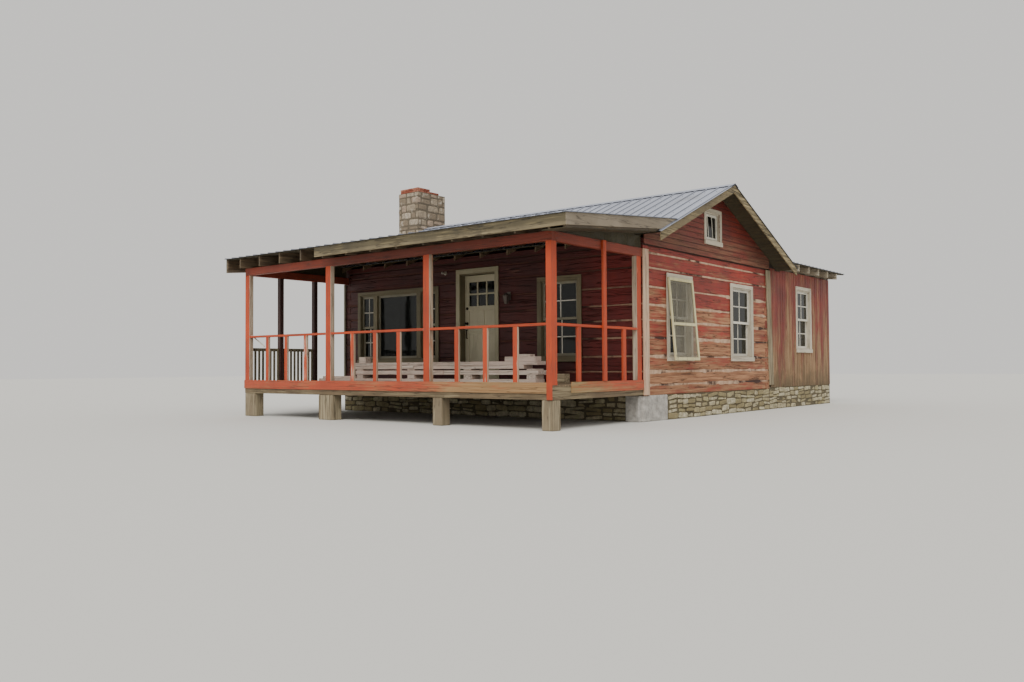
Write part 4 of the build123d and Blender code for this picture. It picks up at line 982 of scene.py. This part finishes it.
# The ribs' steep sides are darkened as painted shade.
rib_side_shade = maths("MAXIMUM",
                 maths("GREATER_THAN", maths("ABSOLUTE", part_of(facing, "X")), 0.25),
                 maths("GREATER_THAN", maths("ABSOLUTE", part_of(facing, "Y")), 0.6))
# The sheets' undersides are darkened near black as painted shade.
underside_shade = maths("LESS_THAN", part_of(facing, "Z"), -0.3)
colour = blend(spread(streak, 0.35, 0.7), paint(158, 164, 182), paint(186, 192, 208))
for mask, share, tone in ((own, 0.35, (146, 150, 166)),
                          (noise_at(place, 22.0, 3.0), 0.2, (210, 214, 224)),
                          (grime, 0.4, (120, 116, 104)), (rib_side_shade, 0.75, (84, 88, 100)),
                          (underside_shade, 0.85, (46, 40, 34))):
    colour = blend(times(mask, share), colour, paint(*tone))
feed(shader, Base_Color=colour, Roughness=spread(streak, 0.3, 0.7, 0.38, 0.6), Metallic=0.35,
     Normal=bumps(noise_at(place, 1.7, 2.0), 0.35, 0.004))
coat_nodes(sheet_metal, "roof_sheets", "ridge_cap")

# Roof screws: hexagon heads on round washers, driven through the flats of the sheets into the
# boards in rows across the slope.
screw_rows = 0.61
screw_pitch = 0.229
first_row = 0.12
first_screw = 0.13
last_screw = 0.04
off_a_rib = 0.05
rib_facing = 0.45
washer_half = 0.011
head_half = 0.0065
washer_thick = 0.0025
head_high = 0.005
screw = round_piece("screw", 10, washer_half, washer_thick, (0, 0, 0.0005))
pick(screw, lambda co: co.z > 0.0)
bpy.ops.mesh.extrude_region_move()
bpy.ops.transform.resize(value=(head_half / washer_half, head_half / washer_half, 1))
bpy.ops.mesh.extrude_region_move(TRANSFORM_OT_translate={"value": (0, 0, head_high)})
closed()
sheets = BVHTree.FromPolygons([v.co for v in nodes["roof_sheets"].data.vertices],
                              [tuple(p.vertices) for p in nodes["roof_sheets"].data.polygons])
sheets_low, sheets_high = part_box("roof_sheets")
places = []
row = sheets_low.y + first_row
flat_facing = 0.88
while row < sheets_high.y:
    at_x = sheets_low.x + first_screw
    while at_x < sheets_high.x - last_screw:
        for nudge in (0.0, off_a_rib):
            hit, normal, _, _ = sheets.ray_cast(Vector((at_x + nudge, row, sheets_high.z + 1)),
                                                Vector((0, 0, -1)))
            steep = hit and max(abs(normal.x), abs(normal.y)) > rib_facing
            if hit and not steep and normal.z > flat_facing:
                places.append(Matrix.Translation(hit) @ normal.to_track_quat("Z", "Y").to_matrix()
                              .to_4x4())
                break
        at_x += screw_pitch
    row += screw_rows
screws = repeat(screw, "roof_screws", places)
bpy.data.objects.remove(screw)
screws.data.materials.append(metal_finish("zinc_screws", (120, 122, 126), (158, 160, 164), 0.45,
                                          0.7))
fit(screws, "roof_metal")

# Roof boards and floors: sawn boards laid side by side along the house, seen from below at the
# eaves and through the windows, with a dark line at each joint.
# The roof boarding's dark olive brown is painted shade under the eaves and the porch roof; the soffit and
# the porch end boards take it too.
under_boards = timber_finish("roof_boarding", ((68, 62, 38), (54, 48, 30)),
                             ((46, 40, 26), (80, 72, 48)), 0.5, along="X")
floor_boards = timber_finish("floor_boarding", ((120, 92, 66), (102, 78, 56)),
                             ((84, 66, 48), (140, 114, 86)), 0.4, along="X")
for node, finish, width in (("roof_boards", under_boards, 0.17), ("floors", floor_boards, 0.11)):
    line_along(finish, "Y", 0.0, width, "LESS_THAN", 0.04, 0.8, (36, 30, 22))
    coat_nodes(finish, node)
eased_timbers("porch_soffit", "soffit_boards", "bare_wood", under_boards, 0.002, 73)

# Porch end boards: thin boards, dark olive as painted shade, that close each end of the porch above its
#  side beam, nailed to the beam's top and cut to the roof's slope. A narrow board covers the log ends at
#  the far end.
beam_low, beam_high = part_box("porch_beams")
porch_slope = 0.0965
end_board_thick = 0.018
roof_under = 3.012
rafter_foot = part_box("porch_rafters")[0].y
end_boards = []
for outer_x in (beam_low.x + 0.03, beam_high.x - 0.03):
    near_y = beam_low.y + 0.1
    far_y = beam_high.y - 0.02
    board = block("end_board", (outer_x - end_board_thick / 2, near_y, beam_high.z - 0.01),
                  (outer_x + end_board_thick / 2, far_y, beam_high.z + 0.05), 0.002)
    for point in board.data.vertices:
        if point.co.z > beam_high.z + 0.02:
            point.co.z += roof_under + porch_slope * (point.co.y - rafter_foot) - beam_high.z - 0.06
    end_boards.append(board)
dress(gather("porch_end_boards", end_boards), 75, under_boards, "bare_wood")
log_cover = block("log_end_cover", (left_face, front_face - 0.03, deck_top),
                  (left_face + 0.05, front_face - 0.004, beam_low.z), 0.003)
dress(log_cover, 76, dark_picket, "weathered_wood")

# Porch floor: boards laid along the porch over the joists, butted end to end, grey and worn.
deck_low, deck_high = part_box("porch_deck")
deck_board = 0.1405
deck_gap = 0.004
deck_end_gap = 0.002
joint_places = (1.83, 2.44, 3.05, 3.66, 4.27, 4.88, 5.49)
deck_finish = timber_finish("grey_deck_boards", ((118, 98, 74), (98, 80, 60)),
                            ((82, 68, 50), (138, 120, 94)), 0.55)
unit = block("deck_board", (0, 0, 0), (1, 1, 1))
draw = random.Random(81)
places = []
edge = deck_low.y
while edge < deck_high.y - 0.01:
    width = min(deck_board, deck_high.y - edge)
    joints = sorted(draw.sample(joint_places, 2))
    ends = [0, *joints, deck_high.x - deck_low.x]
    for a, b in zip(ends, ends[1:]):
        low = Vector((deck_low.x + a, edge + deck_gap / 2, deck_low.z))
        size = (b - a - deck_end_gap, width - deck_gap,
                deck_high.z - deck_low.z - draw.uniform(0, 0.002))
        places.append(Matrix.Translation(low) @ Matrix.Diagonal((*size, 1)))
    edge += deck_board
deck = repeat(unit, "deck_boards", places)
ease(deck, 0.0025)
dress(deck, 82, deck_finish, "weathered_wood", "porch_deck")

# Bench: long weathered timbers stacked flat on short blocks, with a few offcuts left on top.
bench_low, bench_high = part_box("porch_bench")
bench_finish = timber_finish("whitened_bench_timbers", ((222, 202, 190), (210, 188, 174)),
                             ((172, 150, 136), (226, 214, 202)), 0.5)
draw = random.Random(83)
places = []


def lay(x0, x1, y0, y1, z0, z1, turn=0.0):
    """Puts one squared timber in the stack, turned a little on its bed."""
    middle = Matrix.Translation(((x0 + x1) / 2, (y0 + y1) / 2, z0))
    places.append(middle @ Matrix.Rotation(turn, 4, "Z")
                  @ Matrix.Diagonal((x1 - x0, y1 - y0, z1 - z0, 1)) @ Matrix.Translation((-0.5, -0.5, 0)))


bench_y0, bench_y1 = bench_low.y + 0.012, bench_high.y - 0.012
bench_x0, bench_x1 = bench_low.x + 0.02, bench_high.x - 0.02
bench_foot = bench_low.z
for z0, z1, x0, x1 in ((0.0, 0.058, 0.0, 0.05), (0.132, 0.208, 1.12, 0.0),
                       (0.232, 0.292, 1.04, 0.3), (0.294, 0.358, 1.06, 0.02)):
    split = draw.uniform(2.6, 3.6)
    lay(bench_x0 + x0, bench_x0 + split, bench_y0, bench_y1, bench_foot + z0, bench_foot + z1)
    lay(bench_x0 + split + 0.004, bench_x1 - x1, bench_y0 + 0.008, bench_y1, bench_foot + z0,
        bench_foot + z1)
blocks = 4
first_block = bench_x0 + 1.14
for index in range(blocks):
    x0 = first_block + index * (bench_x1 - first_block - 0.24) / (blocks - 1)
    for z0, z1 in ((0.058, 0.132), (0.208, 0.232)):
        lay(x0, x0 + 0.18, bench_y0 + 0.01, bench_y1 - 0.01, bench_foot + z0, bench_foot + z1,
            draw.uniform(-0.02, 0.02))
for x0, x1, y0, y1, z0, z1, turn in (
        (bench_x0 + 0.1, bench_x0 + 0.92, 0.03, 0.04, 0.058, 0.102, 0.03),
        (bench_x1 - 0.72, bench_x1 - 0.08, 0.03, 0.05, 0.358, 0.436, 0.02),
        (bench_x1 - 0.5, bench_x1 - 0.2, 0.05, 0.06, 0.436, 0.474, -0.05),
        (bench_x0 + 1.16, bench_x0 + 1.34, 0.05, 0.05, 0.358, 0.47, 0.06)):
    lay(x0, x1, bench_y0 + y0, bench_y1 - y1, bench_foot + z0, bench_foot + z1, turn)
bench = repeat(unit, "bench_timbers", places)
bpy.data.objects.remove(unit)
ease(bench, 0.005)
dress(bench, 84, bench_finish, "weathered_wood", "porch_bench")
offcut = block("porch_offcut", (bench_high.x + 0.28, bench_y0 + 0.04, bench_foot),
               (bench_high.x + 0.48, bench_y1 - 0.06, bench_foot + 0.15), 0.006)
dress(offcut, 85, silver_wood, "weathered_wood")

# Stonework: squared field stones in rough courses with mortar between them. Each stone is a block
# with its arrises knocked off, a little uneven, and takes one of a few tones.
stone_arris = 0.16
stone = block("stone", (-0.5, -0.5, -0.5), (0.5, 0.5, 0.5), stone_arris)


def stone_finish(name, tones, lichen, grain=26.0):
    """Stone in four tones, mottled, with patches of lichen and a rough broken face."""
    material, shader, place = new_material(name)
    ramp = add_node(material.node_tree, "ValToRGB", n0=mesh_value(material, "tone").outputs["Fac"])
    ramp.color_ramp.interpolation = "CONSTANT"
    for step, colour in enumerate(tones):
        stop = ramp.color_ramp.elements[step] if step < 2 else ramp.color_ramp.elements.new(0.5)
        stop.position = step / len(tones)
        stop.color = paint(*colour)
    mottle = spread(noise_at(place, grain, 8.0, 0.7), 0.3, 0.7)
    colour = blend(mottle, dimmed(paint(*tones[0]), 0.45), ramp.outputs["Color"])
    spots = spread(noise_at(place, 5.0, 8.0, 0.7), 0.56, 0.66)
    feed(shader, Base_Color=blend(times(spots, 0.6), colour, paint(*lichen)), Roughness=0.92,
         Normal=bumps(noise_at(place, 14.0, 8.0, 0.65), 1.0, 0.02))
    return material


def stone_faces(start, end, foot, head, long, tall, draw):
    """Parts a face of wall into squared stones of uneven size, none over the given size."""
    wide, high = end - start, head - foot
    if wide <= long and high <= tall:
        return [(start, end, foot, head)]
    share = draw.uniform(0.32, 0.68)
    if wide / long > high / tall:
        cut = start + wide * share
        return (stone_faces(start, cut, foot, head, long, tall, draw)
                + stone_faces(cut, end, foot, head, long, tall, draw))
    cut = foot + high * share
    return (stone_faces(start, end, foot, cut, long, tall, draw)
            + stone_faces(start, end, cut, head, long, tall, draw))


def off_the_ground(piece):
    """Lifts what would reach below the ground up to it."""
    for point in piece.data.vertices:
        point.co.z = max(point.co.z, 0.001)


def stone_bands(foot, top, high, draw):
    """Beds of uneven height between two levels."""
    count = max(1, round((top - foot) / high))
    levels = [foot + (top - foot) * k / count for k in range(count + 1)]
    for k in range(1, count):
        levels[k] += draw.uniform(-0.2, 0.2) * high
    return list(zip(levels, levels[1:]))


def lay_stone(axis, along, off, level, long, deep, tall, turn=0.0):
    """Puts one stone into a wall that runs along an axis, turned a little in its bed."""
    at = Vector((along, off, level) if axis == 0 else (off, along, level))
    size = (long, deep, tall) if axis == 0 else (deep, long, tall)
    places.append(Matrix.Translation(at) @ Matrix.Rotation(turn, 4, "YX"[axis])
                  @ Matrix.Diagonal((*size, 1)))


# Foundation: rubble of small flat stones in mortar, laid dry-looking with dark gaps, under the
# logs and the wing. It shows from the side and under the porch.
found_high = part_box("foundation_walls")[1]
log_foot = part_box("right_wall_logs")[0].z
wing_foot = wing_low.z
block_low, block_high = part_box("corner_block")
chimney_low, chimney_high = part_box("chimney")
rubble_joint = 0.014
rubble_depth = 0.09
rubble_size = (0.44, 0.125)
rubble = stone_finish("foundation_rubble", ((176, 164, 128), (200, 190, 160), (148, 134, 98),
                                            (212, 204, 178)), (176, 172, 128), 16.0)
rubble_bed = stone_finish("foundation_bed", ((108, 98, 76), (90, 82, 64), (100, 92, 70),
                                             (118, 108, 86)), (84, 80, 58))
draw = random.Random(91)
places = []
walls = [(1, found_high.x, 1, block_high.y, rear_face, log_foot),
         (1, found_high.x, 1, rear_face, found_high.y, wing_foot),
         (0, found_high.y, 1, wing_low.x, found_high.x, wing_foot),
         (1, wing_low.x, -1, rear_face, found_high.y, wing_foot),
         (0, rear_face, 1, left_face, wing_low.x, log_foot),
         (1, left_face, -1, front_face, chimney_low.y, log_foot),
         (1, left_face, -1, chimney_high.y, rear_face, log_foot),
         (0, front_face, -1, left_face, block_low.x, log_foot)]
for axis, face, outward, start, end, top in walls:
    for low_z, high_z in stone_bands(0.0, top - 0.012, 0.2, draw):
        for a, b, foot, head in stone_faces(start, end, low_z, high_z, *rubble_size, draw):
            proud = draw.uniform(0.0, 0.026)
            tall = head - foot - rubble_joint * draw.uniform(0.6, 1.4)
            lay_stone(axis, (a + b) / 2, face + outward * (proud - rubble_depth / 2), (foot + head) / 2,
                      b - a - rubble_joint, rubble_depth, tall, draw.uniform(-0.11, 0.11))
found_stones = repeat(stone, "foundation_stones", places, 0.013)
off_the_ground(found_stones)
dress(found_stones, 92, rubble, "rubble_stone")
coat_nodes(rubble_bed, "foundation_walls")

# Corner block: cast concrete at the front right corner, limewashed, pale and chipped.
corner = own_copy("corner_block", "cast_corner_block")
ease(corner, 0.012)
limewash = stone_finish("limewashed_concrete", ((190, 186, 180), (200, 196, 190), (184, 180, 172),
                                                (206, 202, 196)), (150, 146, 138), 9.0)
dress(corner, 93, limewash, "concrete", "corner_block")

# Chimney: squared stones on all faces, their corners lapped turn about, in pale mortar, round a
# core that the flue runs through.
stack_joint = 0.018
stack_depth = 0.1
stack_size = (0.4, 0.21)
stack_inset = 0.009
core_inset = 0.024
stack_stone = stone_finish("chimney_stones", ((170, 154, 132), (198, 184, 164), (134, 118, 98),
                                              (182, 158, 138)), (206, 198, 184), 18.0)
stack_mortar = stone_finish("chimney_mortar", ((126, 114, 96), (112, 102, 86), (132, 120, 102),
                                               (118, 108, 90)), (158, 148, 130))
core = own_copy("chimney", "chimney_core")
for point in core.data.vertices:
    for k in (0, 1):
        if abs(point.co[k] - chimney_low[k]) < 0.001:
            point.co[k] += core_inset
        if abs(point.co[k] - chimney_high[k]) < 0.001:
            point.co[k] -= core_inset
draw = random.Random(95)
places = []
roof_at_chimney = gable_low.z + 0.5
for number, (low_z, high_z) in enumerate(stone_bands(0.0, chimney_high.z, 0.3, draw)):
    for axis, face, outward in ((0, chimney_low.y, -1), (0, chimney_high.y, 1),
                                (1, chimney_low.x, -1), (1, chimney_high.x, 1)):
        if axis == 1 and outward > 0 and high_z < roof_at_chimney:
            continue
        laps = stack_depth if (axis + number) % 2 else 0.0
        start = chimney_low[axis] + stack_inset + laps
        end = chimney_high[axis] - stack_inset - laps
        for a, b, foot, head in stone_faces(start, end, low_z, high_z, *stack_size, draw):
            inset = stack_inset + stack_depth / 2 + draw.uniform(0.0, 0.01)
            lay_stone(axis, (a + b) / 2, face - outward * inset, (foot + head) / 2, b - a - stack_joint,
                      stack_depth, head - foot - stack_joint)
stack = repeat(stone, "chimney_stones", places, 0.008)
off_the_ground(stack)
dress(stack, 96, stack_stone, "chimney_stone", "chimney")
dress(core, 94, stack_mortar, "chimney_stone", "chimney")
bpy.data.objects.remove(stone)

# Brick patch: what is left of a brick collar on the chimney's top, broken down to one course at
# one side and two at the other, bedded in old mortar round the flue.
cap_low, cap_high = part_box("chimney_cap")
brick_long = 0.2
brick_wide = 0.095
brick_high = 0.052
brick = block("brick", (-brick_long / 2, -brick_wide / 2, 0), (brick_long / 2, brick_wide / 2,
                                                             brick_high), 0.006)
brick_clay = stone_finish("broken_brick", ((158, 84, 62), (176, 102, 78), (140, 74, 58),
                                           (186, 124, 100)), (190, 168, 150), 20.0)
draw = random.Random(97)
places = []
flue_half = 0.15
brick_rows = 7
edge_row = 0.055
edge_brick = 0.11
cap_middle = (cap_low + cap_high) / 2
for layer in (0, 1):
    for row in range(brick_rows):
        y = cap_low.y + edge_row + row * (cap_high.y - cap_low.y - 2 * edge_row) / (brick_rows - 1)
        for x in (cap_low.x + edge_brick, cap_middle.x, cap_high.x - edge_brick):
            over_flue = abs(x - cap_middle.x) < 0.1 and abs(y - cap_middle.y) < flue_half + 0.05
            gone = layer and (draw.random() < 0.35 or y > cap_middle.y + 0.2)
            if over_flue or gone:
                continue
            at = Vector((x, y, cap_low.z + 0.001 + layer * (brick_high + 0.002)))
            places.append(Matrix.Translation(at)
                          @ Matrix.Rotation(draw.uniform(-0.05, 0.05), 4, "Z"))
bricks = repeat(brick, "chimney_bricks", places, 0.003)
bpy.data.objects.remove(brick)
for point in bricks.data.vertices:
    point.co.z = min(point.co.z, cap_high.z)
dress(bricks, 98, brick_clay, "old_brick", "chimney_cap")

# Wall lantern: a small pale metal lantern on a back plate, to the right of the door.
lantern = own_copy("porch_lantern", "wall_lantern")
ease(lantern, 0.002)
lantern.data.materials.append(metal_finish("pale_lantern_metal", (84, 74, 68), (112, 102, 94), 0.5,
                                           0.3))
fit(lantern, "dark_metal", "porch_lantern")

# Bare bulb: a porcelain holder on the wall left of the door, with a frosted glass bulb in it.
bulb_at = Vector((right_face - 4.41, front_face, deck_top + 2.1))
bulb = round_piece("porch_bulb", 24, 0.038, 0.02, bulb_at + Vector((0, -0.01, 0)),
                   (math.pi / 2, 0, 0))
pick(bulb, lambda co: co.y < bulb_at.y - 0.015)
profile = ((0.0, 0.56), (0.022, 1.0), (0.012, 0.8), (0.012, 1.25), (0.02, 1.18), (0.018, 1.0),
           (0.014, 0.74), (0.008, 0.4))
for step, ratio in profile:
    bpy.ops.mesh.extrude_region_move(TRANSFORM_OT_translate={"value": (0, -step, 0)})
    bpy.ops.transform.resize(value=(ratio, 1, ratio))
closed()
bpy.ops.object.shade_smooth_by_angle(angle=math.radians(40))
frosted, shader, place = new_material("frosted_bulb")
feed(shader, Base_Color=blend(noise_at(place, 30.0, 4.0), paint(150, 144, 132),
                              paint(180, 176, 166)), Roughness=0.3)
bulb.data.materials.append(frosted)
fit(bulb, "trim_white")

# White lath: a thin painted stick wedged between the far corner post and the first baluster. It
# slopes down to the right.
lath_at = Vector((porch_left + 0.33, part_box("porch_railing")[0].y + 0.06, deck_top + 0.79))
lath_half = Vector((0.2, 0.012, 0.01))
lath_slope = 0.55
lath = block("white_lath", -lath_half, lath_half, 0.002)
for point in lath.data.vertices:
    point.co += lath_at
    point.co.z -= lath_slope * (point.co.x - lath_at.x)
dress(lath, 99, sash_paint, "trim_white")
